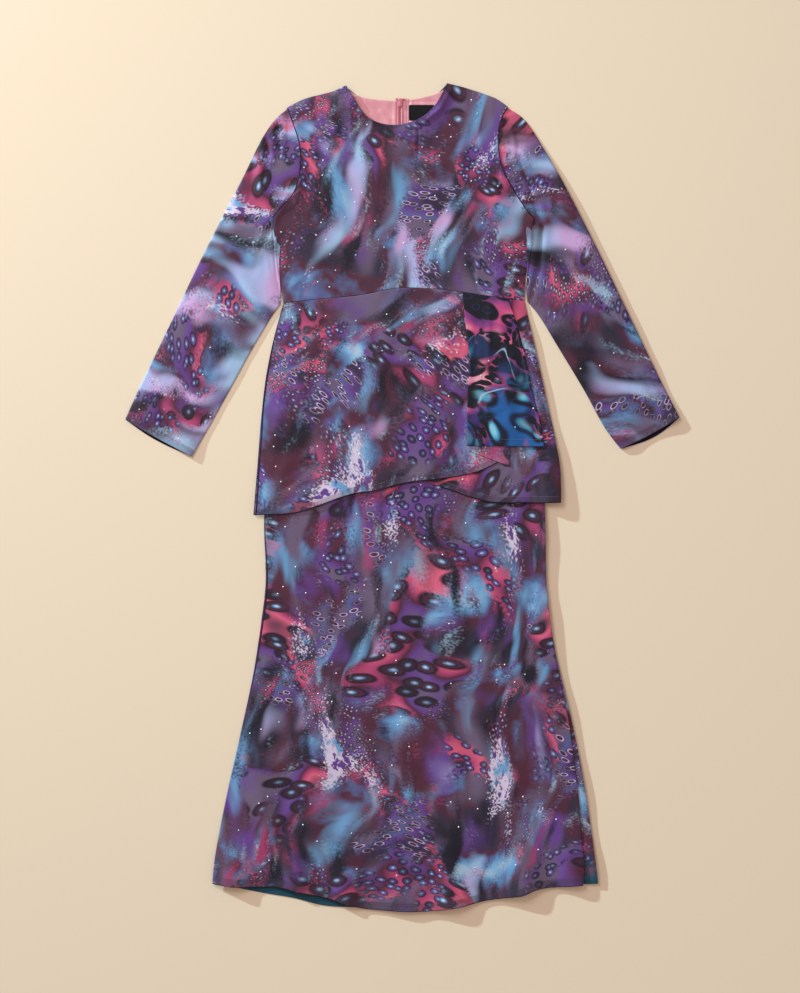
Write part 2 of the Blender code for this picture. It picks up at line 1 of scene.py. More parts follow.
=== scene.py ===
# %% [markdown]
# # A baju kurung laid flat
#
# A baju kurung is a long-sleeved blouse worn over a long skirt. This one is airbrush-printed crepe
# with a wrapped peplum, a loose dark panel on one side, and a pink satin lining that shows at the neck.
# It lies on its back and is seen from straight above, so nearly all of its form is in a few millimetres
# of height: which layer lies on which, where an edge turns under, and where the cloth has soft creases.
#
# The solid of each piece comes from the CAD model. Here each piece of cloth becomes a thin shell that
# follows its solid's upper side, with finer creases than the solid has, and gets its printed finish.

# %% Load the frame
import math
import random

import bmesh
import bpy
import numpy as np
from mathutils import Matrix, Vector, noise
from mathutils.bvhtree import BVHTree


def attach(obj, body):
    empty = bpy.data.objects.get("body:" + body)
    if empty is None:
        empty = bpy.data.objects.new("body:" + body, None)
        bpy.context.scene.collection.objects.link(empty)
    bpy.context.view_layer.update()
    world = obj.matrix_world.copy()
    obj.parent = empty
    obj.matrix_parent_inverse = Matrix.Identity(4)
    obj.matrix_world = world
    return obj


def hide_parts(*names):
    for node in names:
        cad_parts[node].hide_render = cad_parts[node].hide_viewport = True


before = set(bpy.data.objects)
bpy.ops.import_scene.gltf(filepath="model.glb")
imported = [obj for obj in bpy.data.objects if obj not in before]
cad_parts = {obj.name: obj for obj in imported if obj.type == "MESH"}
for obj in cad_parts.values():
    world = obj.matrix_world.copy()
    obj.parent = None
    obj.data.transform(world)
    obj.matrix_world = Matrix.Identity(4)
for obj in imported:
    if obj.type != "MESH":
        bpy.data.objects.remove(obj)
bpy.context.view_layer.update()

MM = 0.001

# %% [markdown]
# ## The camera
#
# The photograph looks straight down. A camera high up with a long lens keeps the edges of the garment
# as true as the middle. The frame's height on the cloth sets the lens, so the garment fills the picture
# as it does in the photograph.

# %% Place the camera
FRAME_HEIGHT = 1.708
CAMERA_HEIGHT = 3.4
FRAME_CENTRE = (-0.004, 0.0021)
CLOTH_LEVEL = 0.005
SENSOR = 36.0


def place_camera():
    data = bpy.data.cameras.new("overhead")
    data.sensor_width = SENSOR
    data.lens = SENSOR * (CAMERA_HEIGHT - CLOTH_LEVEL) / FRAME_HEIGHT
    camera = bpy.data.objects.new("overhead", data)
    camera.location = (*FRAME_CENTRE, CAMERA_HEIGHT)
    bpy.context.collection.objects.link(camera)
    bpy.context.scene.camera = camera
    print("lens in mm:", round(data.lens, 1))


place_camera()

# %% [markdown]
# ## Colours and nodes
#
# A screen colour such as #b8427c is stored on a curve, and the renderer counts light in straight steps,
# so one function turns the hex code into linear values. One more function adds a shader node with its
# settings and links, which keeps each finish readable as a list of what feeds what.


# %% Colour and node helpers
def linear(code):
    """A hex colour as linear red, green, blue and alpha."""
    parts = [int(code[k:k + 2], 16) / 255 for k in (1, 3, 5)]
    return (*[c / 12.92 if c <= 0.04045 else ((c + 0.055) / 1.055) ** 2.4 for c in parts], 1.0)


def add(material, kind, settings=(), links=()):
    """Adds a node. Settings fill options, sockets or colour stops, and links feed its sockets."""
    node = material.node_tree.nodes.new("ShaderNode" + kind)
    for key, value in dict(settings).items():
        if key == "stops":
            elements = node.color_ramp.elements
            elements[0].position, elements[1].position = value[0][0], value[-1][0]
            elements[0].color, elements[1].color = linear(value[0][1]), linear(value[-1][1])
            for place, code in value[1:-1]:
                elements.new(place).color = linear(code)
        elif isinstance(key, str) and hasattr(node, key):
            setattr(node, key, value)
        else:
            node.inputs[key].default_value = value
    for key, source in dict(links).items():
        material.node_tree.links.new(source, node.inputs[key])
    return node


def new_finish(name, roughness, sheen=0.0, specular=0.5, metallic=0.0):
    """A material with its shader's even values set on the shader's own sockets."""
    material = bpy.data.materials.new(name)
    material.use_nodes = True
    shader = material.node_tree.nodes["Principled BSDF"]
    shader.inputs["Roughness"].default_value = roughness
    shader.inputs["Sheen Weight"].default_value = sheen
    shader.inputs["Sheen Roughness"].default_value = 0.4
    shader.inputs["Specular IOR Level"].default_value = specular
    shader.inputs["Metallic"].default_value = metallic
    return material, shader


def feed(shader, socket, source):
    """Links a source to one of the shader's sockets."""
    shader.id_data.links.new(source, shader.inputs[socket])


# %% [markdown]
# ## The airbrushed print
#
# The real cloth is polyester crepe with a dye-sublimation print that looks sprayed with an airbrush:
# soft fields of plum, maroon, sky blue and lilac, clusters of pebbles with bright cores, a coral net
# between dark drops, streams of fine dots, and pale crinkled patches. Sublimation dye sits in the
# fibre, so the print has no edge of its own and the cloth stays matt.
#
# A pattern like this could be painted as a picture. Here noise does it, so it has no fixed size and no
# seam. The place on the cloth is first pushed about by slow swirls. Every later pass reads the pushed
# place, so all the shapes flow together the way sprayed colour does. Each panel turns and shifts the
# pattern, because real panels are cut from different places of the roll.

# %% Print colours
PLUM_BLACK = "#1e1927"
PLUM = "#382e42"
MAROON = "#54283a"
MAUVE = "#6b5a74"
SLATE = "#54628e"
SKY = "#6c9fcb"
TEAL = "#247a9a"
ICE = "#a5c3da"
LILAC = "#d6c7df"
PURPLE = "#67418c"
MAGENTA = "#a8406c"
CORAL = "#dc6180"

SPECKLE_SIZE = 0.0036


# %% [markdown]
# A pass of the sprayer has two steps. First comes where it lands: clouds of one size, often drawn out
# along one way, with a wide threshold for a soft edge and a speckle where the spray thins out. Then the
# colour is laid over what is already on the cloth.


# %% One pass of the sprayer
def cloud(material, place, size, low, high, seed, turn=0.0, stretch=1.0, speckle=0.0, detail=2.0):
    """Where a pass lands, from 0 to 1. Size in metres, low and high on the noise's own scale."""
    moved = add(material, "Mapping", {"Location": (seed, -seed, 0), "Rotation": (0, 0, turn),
                                      "Scale": (1, stretch, 1)}, {"Vector": place})
    found = add(material, "TexNoise", {"Scale": 1 / size, "Detail": detail, "Roughness": 0.5},
                {"Vector": moved.outputs[0]}).outputs["Fac"]
    if speckle:
        fine = add(material, "TexNoise", {"Scale": 1 / SPECKLE_SIZE, "Detail": 0.0}, {"Vector": place})
        centred = add(material, "Math", {"operation": "SUBTRACT", 1: 0.5}, {0: fine.outputs["Fac"]})
        found = add(material, "Math", {"operation": "MULTIPLY_ADD", 1: speckle},
                    {0: centred.outputs[0], 2: found}).outputs[0]
    return add(material, "MapRange", {"interpolation_type": "SMOOTHSTEP", "From Min": low,
                                      "From Max": high}, {"Value": found}).outputs["Result"]


def laid(material, under, over, where):
    """Lays one colour over another. A colour is a hex code or a socket."""
    settings = {"data_type": "RGBA"}
    links = {0: where}
    for socket, colour in ((6, under), (7, over)):
        if isinstance(colour, str):
            settings[socket] = linear(colour)
        else:
            links[socket] = colour
    return add(material, "Mix", settings, links).outputs[2]


def pushed_place(material, shift, turn, slow=0.15, quick=0.016):
    """The place on the cloth, moved and turned for the panel, then pushed by slow and quick swirls."""
    here = add(material, "TexCoord").outputs["Object"]
    place = add(material, "Mapping", {"Location": shift, "Rotation": (0, 0, turn)},
                {"Vector": here}).outputs[0]
    for size, push in ((0.25, slow), (0.055, quick)):
        swirl = add(material, "TexNoise", {"Scale": 1 / size, "Detail": 1.0}, {"Vector": place})
        place = add(material, "VectorMath", {"operation": "MULTIPLY_ADD", 1: (push, push, 0.0)},
                    {0: swirl.outputs["Color"], 2: place}).outputs[0]
    return place


# %% [markdown]
# The drops and pebbles are cells round scattered points. The distance from the point gives the rings
# inside a cell, from a bright core to a dark rim, and past it the net between the cells. Some cells are
# darker than others, and the net's colour drifts from coral through purple to blue.


# %% Drops and pebbles
def drifting(material, place, size, seed, stops):
    """A colour that drifts slowly through some stops."""
    moved = add(material, "Mapping", {"Location": (seed, seed, 0)}, {"Vector": place})
    found = add(material, "TexNoise", {"Scale": 1 / size, "Detail": 1.0}, {"Vector": moved.outputs[0]})
    return add(material, "ValToRGB", {"stops": stops}, {"Fac": found.outputs["Fac"]}).outputs["Color"]


def cells(material, place, size, turn, stretch, rings, net, dim=PLUM_BLACK, wall=(0.33, 0.47)):
    """Rounded cells of a size in metres, with rings inside and a net between."""
    moved = add(material, "Mapping", {"Rotation": (0, 0, turn), "Scale": (1, stretch, 1)}, {"Vector": place})
    found = add(material, "TexVoronoi", {"Scale": 1 / size, "Randomness": 0.85,
                                         "voronoi_dimensions": "2D"}, {"Vector": moved.outputs[0]})
    inside = add(material, "ValToRGB", {"stops": rings}, {"Fac": found.outputs["Distance"]}).outputs["Color"]
    chance = add(material, "SeparateColor", {}, {"Color": found.outputs["Color"]})
    darker = add(material, "MapRange", {"From Min": 0.3, "From Max": 1.0, "To Max": 0.8},
                 {"Value": chance.outputs[0]})
    inside = laid(material, inside, dim, darker.outputs["Result"])
    between = add(material, "MapRange", {"interpolation_type": "SMOOTHSTEP", "From Min": wall[0],
                                         "From Max": wall[1]}, {"Value": found.outputs["Distance"]})
    return laid(material, inside, net, between.outputs["Result"])


def strokes(material, under, code, place, size, width, seed):
    """Thin light strokes along the level line of a slow noise, each fading out."""
    moved = add(material, "Mapping", {"Location": (seed, seed, 0)}, {"Vector": place})
    found = add(material, "TexNoise", {"Scale": 1 / size, "Detail": 0.0}, {"Vector": moved.outputs[0]})
    off = add(material, "Math", {"operation": "SUBTRACT", 1: 0.5}, {0: found.outputs["Fac"]})
    away = add(material, "Math", {"operation": "ABSOLUTE"}, {0: off.outputs[0]})
    line = add(material, "MapRange", {"From Min": width, "From Max": 0.0}, {"Value": away.outputs[0]})
    shown = cloud(material, place, 0.06, 0.54, 0.68, seed + 3.0)
    where = add(material, "Math", {"operation": "MULTIPLY"}, {0: line.outputs["Result"], 1: shown})
    return laid(material, under, code, where.outputs[0])


# %% [markdown]
# The crepe's own grain is under half a millimetre, too fine for this picture, so it is drawn coarse
# enough to break up the light a little. A slower crinkle stands for the softness of the layers below.


# %% Crepe grain
CREPE_GRAIN = 0.0024
CREPE_CRINKLE = 0.022


def crepe_grain(material, shader):
    """Fine and slow relief of light crepe, and a little unevenness in its roughness."""
    here = add(material, "TexCoord").outputs["Object"]
    grain = add(material, "TexNoise", {"Scale": 1 / CREPE_GRAIN, "Detail": 1.0}, {"Vector": here})
    crinkle = add(material, "TexNoise", {"Scale": 1 / CREPE_CRINKLE, "Detail": 2.0}, {"Vector": here})
    slow = add(material, "Bump", {"Strength": 0.35, "Distance": 0.0012}, {"Height": crinkle.outputs["Fac"]})
    fine = add(material, "Bump", {"Strength": 0.35, "Distance": 0.0004},
               {"Height": grain.outputs["Fac"], "Normal": slow.outputs[0]})
    uneven = add(material, "MapRange", {"To Min": 0.52, "To Max": 0.72}, {"Value": grain.outputs["Fac"]})
    feed(shader, "Normal", fine.outputs[0])
    feed(shader, "Roughness", uneven.outputs["Result"])


# %% The printed crepe
FIELD_STOPS = ((0.33, PLUM_BLACK), (0.44, PLUM), (0.51, MAROON), (0.56, SLATE), (0.63, SKY), (0.71, ICE))
MIST_STOPS = ((0.40, "#a3c6e8"), (0.48, "#a9b2de"), (0.56, "#b9b0dc"), (0.64, "#c8a2d2"))
LENS_STOPS = ((0.40, PLUM), (0.50, PURPLE), (0.58, SLATE), (0.66, MAUVE))
NET_STOPS = ((0.34, MAUVE), (0.43, PURPLE), (0.50, MAROON), (0.55, MAGENTA), (0.61, CORAL), (0.70, PLUM))

# Colour, then the cloud that it lands in: size, low, high, seed, turn, stretch, speckle.
FIELD_PASSES = (
    (MAUVE, 0.09, 0.48, 0.66, 3.1, 0.4, 0.6, 0.0), (MAROON, 0.07, 0.50, 0.66, 5.7, 1.1, 0.4, 0.1),
    (PURPLE, 0.08, 0.55, 0.70, 7.9, 0.0, 0.6, 0.0), (SKY, 0.05, 0.56, 0.74, 9.2, 0.8, 0.35, 0.0),
    (MAGENTA, 0.06, 0.58, 0.74, 11.4, -0.5, 0.5, 0.15), (PLUM_BLACK, 0.045, 0.52, 0.68, 13.8, 0.9, 0.3, 0.1))

# Size, turn and stretch of the cells, their rings from the middle out, and their cloud as above.
FINE_CELLS = (0.010, 0.3, 1.3, ((0.06, LILAC), (0.20, MAUVE), (0.34, PLUM)),
              (0.09, 0.56, 0.66, 17.3, 0.5, 0.5, 0.1))
SMALL_CELLS = (0.020, 1.2, 1.5, ((0.05, ICE), (0.14, SLATE), (0.24, PURPLE), (0.35, PLUM_BLACK)),
               (0.11, 0.55, 0.64, 21.9, 0.2, 0.7, 0.08))
LARGE_CELLS = (0.052, 0.7, 1.9,
               ((0.03, LILAC), (0.08, SKY), (0.16, PLUM), (0.24, MAROON), (0.35, PLUM_BLACK)),
               (0.13, 0.54, 0.62, 25.1, -0.4, 0.7, 0.06))
LENS_CELLS = (0.024, -0.5, 2.4, ((0.08, MAROON), (0.18, PLUM_BLACK), (0.25, LILAC), (0.33, PURPLE)),
              (0.10, 0.60, 0.68, 28.6, 0.9, 0.6, 0.08))

HEM_ATTRIBUTE = "turned_hem"
HEM_GREY = "#3f3648"
HEM_SHARE = 0.42
DYED_FROM = -0.60
DYED_TO = -0.66


def printed_crepe(name, shift, turn, hem_dye=None, paler=0.76):
    """Dye-sublimation print on matt polyester crepe. A lower value of paler leaves more pale mist."""
    material, shader = new_finish(name, roughness=0.62, sheen=0.12, specular=0.25)
    place = pushed_place(material, shift, turn)
    ground = add(material, "TexNoise", {"Scale": 1 / 0.115, "Detail": 4.0, "Roughness": 0.5},
                 {"Vector": place}).outputs["Fac"]
    colour = add(material, "ValToRGB", {"stops": FIELD_STOPS}, {"Fac": ground}).outputs["Color"]
    net = drifting(material, place, 0.10, 2.0, NET_STOPS)
    mist = drifting(material, place, 0.11, 6.0, MIST_STOPS)
    for code, *spray in (*FIELD_PASSES, (mist, 0.08, paler - 0.14, paler, 44.0, 0.7, 0.4, 0.0)):
        colour = laid(material, colour, code, cloud(material, place, *spray))
    lens_net = drifting(material, place, 0.07, 8.0, LENS_STOPS)
    for (*shape, rings, spray), between, dim in (
            (FINE_CELLS, net, PLUM), (SMALL_CELLS, net, PLUM_BLACK), (LARGE_CELLS, net, PLUM_BLACK),
            (LENS_CELLS, lens_net, PLUM)):
        cluster = cells(material, place, *shape, rings, between, dim)
        colour = laid(material, colour, cluster, cloud(material, place, *spray))
    torn = laid(material, LILAC, PURPLE, cloud(material, place, 0.011, 0.54, 0.60, 31.0, 0.3, 0.6))
    torn = laid(material, torn, SKY, cloud(material, place, 0.03, 0.52, 0.66, 33.0))
    colour = laid(material, colour, torn, cloud(material, place, 0.10, 0.65, 0.71, 36.0, 0.8, 0.5, 0.15))
    colour = laid(material, colour, ICE, cloud(material, place, 0.04, 0.62, 0.86, 41.0, 1.2, 0.35, 0.18))
    double = add(material, "Attribute", {"attribute_name": HEM_ATTRIBUTE}).outputs["Fac"]
    greyed = add(material, "Math", {"operation": "MULTIPLY", 1: HEM_SHARE}, {0: double})
    colour = laid(material, colour, HEM_GREY, greyed.outputs[0])
    if hem_dye:
        here = add(material, "TexCoord").outputs["Object"]
        height = add(material, "SeparateXYZ", {}, {"Vector": here}).outputs[1]
        near_hem = add(material, "MapRange", {"From Min": DYED_FROM, "From Max": DYED_TO}, {"Value": height})
        colour = laid(material, colour, hem_dye, near_hem.outputs["Result"])
    feed(shader, "Base Color", colour)
    crepe_grain(material, shader)
    return material


# %% [markdown]
# The loose side panel is printed darker and sharper: almost black crepe with a glowing net of pink
# veins, a few blue drops low down, and one pale streak.


# %% The dark printed crepe
NIGHT = "#13111d"
NIGHT_BLUE = "#1b2c55"
VEIN_STOPS = ((0.36, "#3a2a66"), (0.47, "#8e3d7d"), (0.56, "#cc4f84"), (0.66, "#e79aae"))
WIDE_RINGS = ((0.12, NIGHT), (0.16, NIGHT_BLUE), (0.20, NIGHT), (0.36, NIGHT))
THIN_RINGS = ((0.10, NIGHT), (0.36, NIGHT))
DROP_RINGS = ((0.12, "#8fd6e8"), (0.22, "#3fa9d2"), (0.29, NIGHT_BLUE), (0.34, NIGHT))
DROPS_BELOW = 0.24
ALL_DROPS_BELOW = 0.16


def dark_crepe(name, shift, turn):
    """The same crepe printed almost black, with pink veins and blue drops."""
    material, shader = new_finish(name, roughness=0.55, sheen=0.05, specular=0.3)
    place = pushed_place(material, shift, turn, 0.12, 0.03)
    colour = laid(material, NIGHT, NIGHT_BLUE, cloud(material, place, 0.06, 0.50, 0.64, 2.0))
    colour = laid(material, colour, TEAL, cloud(material, place, 0.04, 0.56, 0.68, 4.0, 0.6, 0.4))
    colour = laid(material, colour, PURPLE, cloud(material, place, 0.05, 0.58, 0.72, 6.0, -0.6, 0.5))
    vein = drifting(material, place, 0.05, 3.0, VEIN_STOPS)
    wide = cells(material, place, 0.044, 0.9, 1.5, WIDE_RINGS, vein, NIGHT, (0.43, 0.53))
    colour = laid(material, colour, wide, cloud(material, place, 0.08, 0.36, 0.46, 9.0))
    thin = cells(material, place, 0.020, 0.5, 2.0, THIN_RINGS, vein, NIGHT, (0.42, 0.54))
    colour = laid(material, colour, thin, cloud(material, place, 0.07, 0.54, 0.60, 19.0))
    here = add(material, "TexCoord").outputs["Object"]
    height = add(material, "SeparateXYZ", {}, {"Vector": here}).outputs[1]
    low_down = add(material, "MapRange", {"From Min": DROPS_BELOW, "From Max": ALL_DROPS_BELOW},
                   {"Value": height})
    spots = add(material, "Math", {"operation": "MULTIPLY"},
                {0: low_down.outputs["Result"], 1: cloud(material, place, 0.07, 0.44, 0.52, 14.0)})
    blue = cells(material, place, 0.058, 0.2, 1.8, DROP_RINGS, "#1c5a9c", NIGHT_BLUE, (0.38, 0.52))
    colour = laid(material, colour, blue, spots.outputs[0])
    colour = strokes(material, colour, ICE, place, 0.09, 0.012, 5.0)
    feed(shader, "Base Color", colour)
    crepe_grain(material, shader)
    return material


# %% [markdown]
# ## From a solid to a thin shell
#
# Each CAD solid is a millimetre of cloth with straight facets. The shell that replaces it needs the same
# outline and heights, but a finer grid. So the outline is read from the solid's upper side, split at its
# four corners, and filled with a grid whose places blend the four edges (a Coons patch). Each place then
# drops onto the solid to find its height, and a few rounds of averaging take the facets out. The solid's
# facets cut the points at both sides of the neck off by 5 mm, so the nearest places move out to them.
#
# Subdividing a copy of the solid would be quicker, but its triangles run in all directions, and soft
# creases look best on rows and columns that follow the cloth's grain.


# %% Read a solid's outline
MERGE_DISTANCE = 1e-6
FACES_UP = 0.2
NECK_POINTS = {
    "bodice_front": ((-96.5, 708.6), (76.6, 712.6)),
    "bodice_back_left": ((-96.5, 708.0),),
    "bodice_back_right": ((76.4, 711.8),)}


def smooth(t):
    """Soft step from 0 to 1, for a number or an array."""
    t = np.clip(t, 0.0, 1.0)
    return t * t * (3.0 - 2.0 * t)


def upper_side(node):
    """A copy of a CAD node's mesh, merged, with only the faces that see the sky."""
    bm = bmesh.new()
    bm.from_mesh(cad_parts[node].data)
    bmesh.ops.remove_doubles(bm, verts=bm.verts[:], dist=MERGE_DISTANCE)
    bm.normal_update()
    tree = BVHTree.FromBMesh(bm)
    up = Vector((0, 0, 1))
    hidden = [face for face in bm.faces if face.normal.z < FACES_UP
              or tree.ray_cast(face.calc_center_median() + up * 1e-5, up)[0] is not None]
    bmesh.ops.delete(bm, geom=hidden, context="FACES")
    return bm


def edges_of(node, corners):
    """The four edges of a piece in millimetres: bottom and top to the right, right and left upward."""
    bm = upper_side(node)
    follows = {}
    for edge in bm.edges:
        if edge.is_boundary:
            loop = edge.link_loops[0]
            follows[loop.vert] = loop.link_loop_next.vert
    start = next(iter(follows))
    rim = [start]
    while follows[rim[-1]] is not start:
        rim.append(follows[rim[-1]])
    points = np.array([(vertex.co.x / MM, vertex.co.y / MM) for vertex in rim])
    bm.free()
    for point in NECK_POINTS.get(node, ()):
        points[np.argmin(np.linalg.norm(points - np.array(point), axis=1))] = point
    at = [int(np.argmin(np.linalg.norm(points - np.array(corner), axis=1))) for corner in corners]

    def stretch(a, b):
        count = (b - a) % len(points)
        return points[[(a + k) % len(points) for k in range(count + 1)]]

    bottom_left, bottom_right, top_right, top_left = at
    return (stretch(bottom_left, bottom_right), stretch(bottom_right, top_right),
            stretch(top_right, top_left)[::-1], stretch(top_left, bottom_left)[::-1])


# %% [markdown]
# An edge is a chain of points. A smooth curve through them (a Hermite spline) takes the corners out of
# the chain, except at real corners such as the point of the underarm, where the chain turns sharply.


# %% Smooth curve through an edge
SHARP_TURN = math.radians(28)


def length_of(points):
    return float(np.linalg.norm(np.diff(points, axis=0), axis=1).sum())


def places(points, shares):
    """Places at some shares (0 to 1) of an edge's length, on a smooth curve through its points."""
    runs = np.diff(points, axis=0)
    sizes = np.linalg.norm(runs, axis=1)
    stops = np.concatenate([[0.0], np.cumsum(sizes)])
    heading = runs / sizes[:, None]
    shares = np.array(shares)
    for k in range(len(sizes) - 1):
        if math.acos(np.clip(heading[k] @ heading[k + 1], -1, 1)) > SHARP_TURN:
            corner = stops[k + 1] / stops[-1]
            shares[np.argmin(np.abs(shares - corner))] = corner
    found = []
    for share in shares:
        at = share * stops[-1]
        k = min(int(np.searchsorted(stops, at, side="right")) - 1, len(sizes) - 1)
        last, later = max(k - 1, 0), min(k + 1, len(sizes) - 1)
        start = end = heading[k]
        if math.acos(min(1.0, heading[last] @ heading[k])) < SHARP_TURN:
            start = (runs[last] + runs[k]) / (sizes[last] + sizes[k])
        if math.acos(min(1.0, heading[later] @ heading[k])) < SHARP_TURN:
            end = (runs[later] + runs[k]) / (sizes[later] + sizes[k])
        s = (at - stops[k]) / sizes[k]
        found.append(points[k] * (2 * s**3 - 3 * s**2 + 1) + start * sizes[k] * (s**3 - 2 * s**2 + s)
                     + points[k + 1] * (3 * s**2 - 2 * s**3) + end * sizes[k] * (s**3 - s**2))
    return np.array(found)


def steps(count, length, near):
    """Shares of an edge: a few close to each end for the turned edge, and the rest even."""
    rim = [distance / length for distance in near]
    inside = [rim[-1] + (1 - 2 * rim[-1]) * k / count for k in range(count + 1)]
    return np.array(rim[:-1] + inside + [1 - share for share in reversed(rim[:-1])])


def patch(edges, across, along):
    """Places of a grid between four edges, rows from bottom to top."""
    bottom, right, top, left = edges
    low, high = places(bottom, across), places(top, across)
    near, far = places(left, along), places(right, along)
    u, v = across[None, :, None], along[:, None, None]
    level = low[None] * (1 - v) + high[None] * v
    upright = near[:, None] * (1 - u) + far[:, None] * u
    corners = ((low[0] * (1 - u) + low[-1] * u) * (1 - v) + (high[0] * (1 - u) + high[-1] * u) * v)
    return level + upright - corners


# %% [markdown]
# ## Heights and creases
#
# A crease is a row of a table: two ends, how wide it is and how high, with a trough as a negative height.
# Real creases are uneven, so no two rows are alike. Below them a very low, slow noise takes the
# machine-made evenness out of the flat stretches.


# %% Heights of a grid
TURNED_EDGE = (0.0, 0.5, 1.5)
EDGE_DROP = (0.35, 0.08)
DEEPENED = 1.9
LOWEST = 0.62
SLOW_WAVES = ((0.40, 60, 0), (0.14, 19, 5))


def dropped(tree, place, from_above=True):
    """Height in millimetres of the solid at each place, read just inside the piece's edges."""
    rows, columns = place.shape[:2]
    start = 1.0 if from_above else -1.0
    way = Vector((0, 0, -start))
    heights = np.zeros((rows, columns))
    for j in range(rows):
        for i in range(columns):
            x, y = place[min(max(j, 2), rows - 3), min(max(i, 2), columns - 3)] * MM
            hit = tree.ray_cast(Vector((x, y, start)), way)[0]
            if hit is None:
                hit = tree.find_nearest(Vector((x, y, start * 0.01)))[0]
            heights[j, i] = hit.z / MM
    return heights


def soften(heights, rounds):
    """Averages each height with its neighbours."""
    for _ in range(rounds):
        wide = np.pad(heights, 1, mode="edge")
        beside = (wide[1:-1, :-2] + wide[1:-1, 2:] + wide[:-2, 1:-1] + wide[2:, 1:-1]) / 4
        heights = (heights + beside) / 2
    return heights


def creased(table, place):
    """Sum of the soft ridges and troughs of a table at each place. Each fades toward its ends."""
    total = np.zeros(place.shape[:2])
    for x0, y0, x1, y1, half_width, height in table:
        run = np.array((x1 - x0, y1 - y0), float)
        off = place - np.array((x0, y0), float)
        share = np.clip(off @ run / (run @ run), 0.0, 1.0)
        aside = np.linalg.norm(off - share[..., None] * run, axis=-1)
        fade = 0.35 + 0.65 * np.sin(math.pi * np.clip(0.12 + 0.76 * share, 0, 1))
        total += DEEPENED * height * fade * np.exp(-((aside / half_width) ** 2))
    return total


def uneven(place, seed):
    """Very low, slow waves of lying cloth, in millimetres."""
    heights = np.zeros(place.shape[:2])
    for j, i in np.ndindex(*heights.shape):
        x, y = place[j, i]
        for height, size, shift in SLOW_WAVES:
            heights[j, i] += height * noise.noise(Vector((x / size, y / size, seed + shift)))
    return heights


def lifted(table, place):
    """Height of the hem waves of a table at each place, in millimetres."""
    total = np.zeros(place.shape[:2])
    for x, y, along, inward, height in table:
        total += height * np.exp(-((place[..., 0] - x) / along) ** 2 - ((place[..., 1] - y) / inward) ** 2)
    return total


def upper_heights(tree, place, rounds, creases, waves, seed):
    """Heights of the solid's upper side, softened, with the creases and waves of its cloth on them."""
    lying = soften(dropped(tree, place), rounds) + creased(creases, place) + uneven(place, seed)
    return lying + lifted(waves, place)


# %% [markdown]
# ## Making a shell
#
# The shell starts as one grid. Its rim is dropped by a third of a millimetre over the last millimetre
# and a half, which is how a turned and pressed edge catches the light. A Solidify modifier then gives it
# the thickness of two layers of light crepe, downward from the upper side.
#
# Where the hem is turned up, the sheer crepe lies double and looks greyer and darker. Each place of the
# grid keeps that in an attribute, which the print reads.


# %% Shell of a flat piece
CLOTH_THICKNESS = 0.0006
shells = {}
grids = {}


def finished(name, bm, material, thickness, node, body="garment"):
    """Makes the mesh an object, gives it its thickness, and says what it rides on and stands for."""
    mesh = bpy.data.meshes.new(name)
    bm.to_mesh(mesh)
    shells[name] = BVHTree.FromBMesh(bm)
    bm.free()
    mesh.shade_smooth()
    mesh.materials.append(material)
    obj = bpy.data.objects.new(name, mesh)
    bpy.context.collection.objects.link(obj)
    if thickness:
        wall = obj.modifiers.new("cloth thickness", "SOLIDIFY")
        wall.thickness = thickness
        wall.offset = -1.0
    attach(obj, body)
    if node:
        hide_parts(node)
    return obj


def turned_hem(place, depth):
    """1 on the hem that is turned up along the bottom edge, and 0 above it."""
    climb = np.cumsum(np.linalg.norm(np.diff(place, axis=0), axis=2), axis=0)
    away = np.vstack([np.zeros((1, place.shape[1])), climb])
    return (away < depth).astype(float)


def cell_of(bm, columns, rows):
    """Column and row of each vertex of a new grid of that many points."""
    return {vertex: (round((vertex.co.x + 1) / 2 * (columns - 1)),
                     round((vertex.co.y + 1) / 2 * (rows - 1))) for vertex in bm.verts}


def grid_on(node, corners, cells, side_rim):
    """Shares of a grid on a solid both ways, its places, its mean width, and the solid's search tree."""
    edges = edges_of(node, corners)
    bottom, right, top, left = (length_of(edge) for edge in edges)
    width = (bottom + top) / 2
    across = steps(cells[0], width, side_rim)
    along = steps(cells[1], (right + left) / 2, TURNED_EDGE)
    solid = bmesh.new()
    solid.from_mesh(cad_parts[node].data)
    tree = BVHTree.FromBMesh(solid)
    solid.free()
    return across, along, patch(edges, across, along), width, tree


def cloth_piece(node, bm, material, highest):
    """Makes a cloth's mesh the piece that stands for its solid."""
    bm.normal_update()
    area = sum(face.calc_area() for face in bm.faces)
    obj = finished(node + "_cloth", bm, material, CLOTH_THICKNESS, node)
    print(f"{obj.name}: {len(obj.data.polygons)} faces, {highest:.1f} mm high, {area:.4f} square metres")


def flat_cloth(node, corners, cells, material, creases=(), waves=(), hem=0.0, rounds=6):
    """A flat piece of cloth on its solid's upper side. Cells are the grid's columns and rows."""
    across, along, place, _, tree = grid_on(node, corners, cells, TURNED_EDGE)
    height = upper_heights(tree, place, rounds, creases, waves, len(node))
    for ring, drop in enumerate(EDGE_DROP):
        height[ring, :] -= drop
        height[-1 - ring, :] -= drop
        height[:, ring] -= drop
        height[:, -1 - ring] -= drop
    height = np.maximum(height, LOWEST)
    grids[node] = np.dstack([place, height])
    double = turned_hem(place, hem)
    bm = bmesh.new()
    doubled = bm.verts.layers.float.new(HEM_ATTRIBUTE)
    bmesh.ops.create_grid(bm, x_segments=len(across) - 1, y_segments=len(along) - 1, size=1.0)
    for vertex, (i, j) in cell_of(bm, len(across), len(along)).items():
        vertex.co = Vector(grids[node][j, i]) * MM
        vertex[doubled] = double[j, i]
    cloth_piece(node, bm, material, height.max())


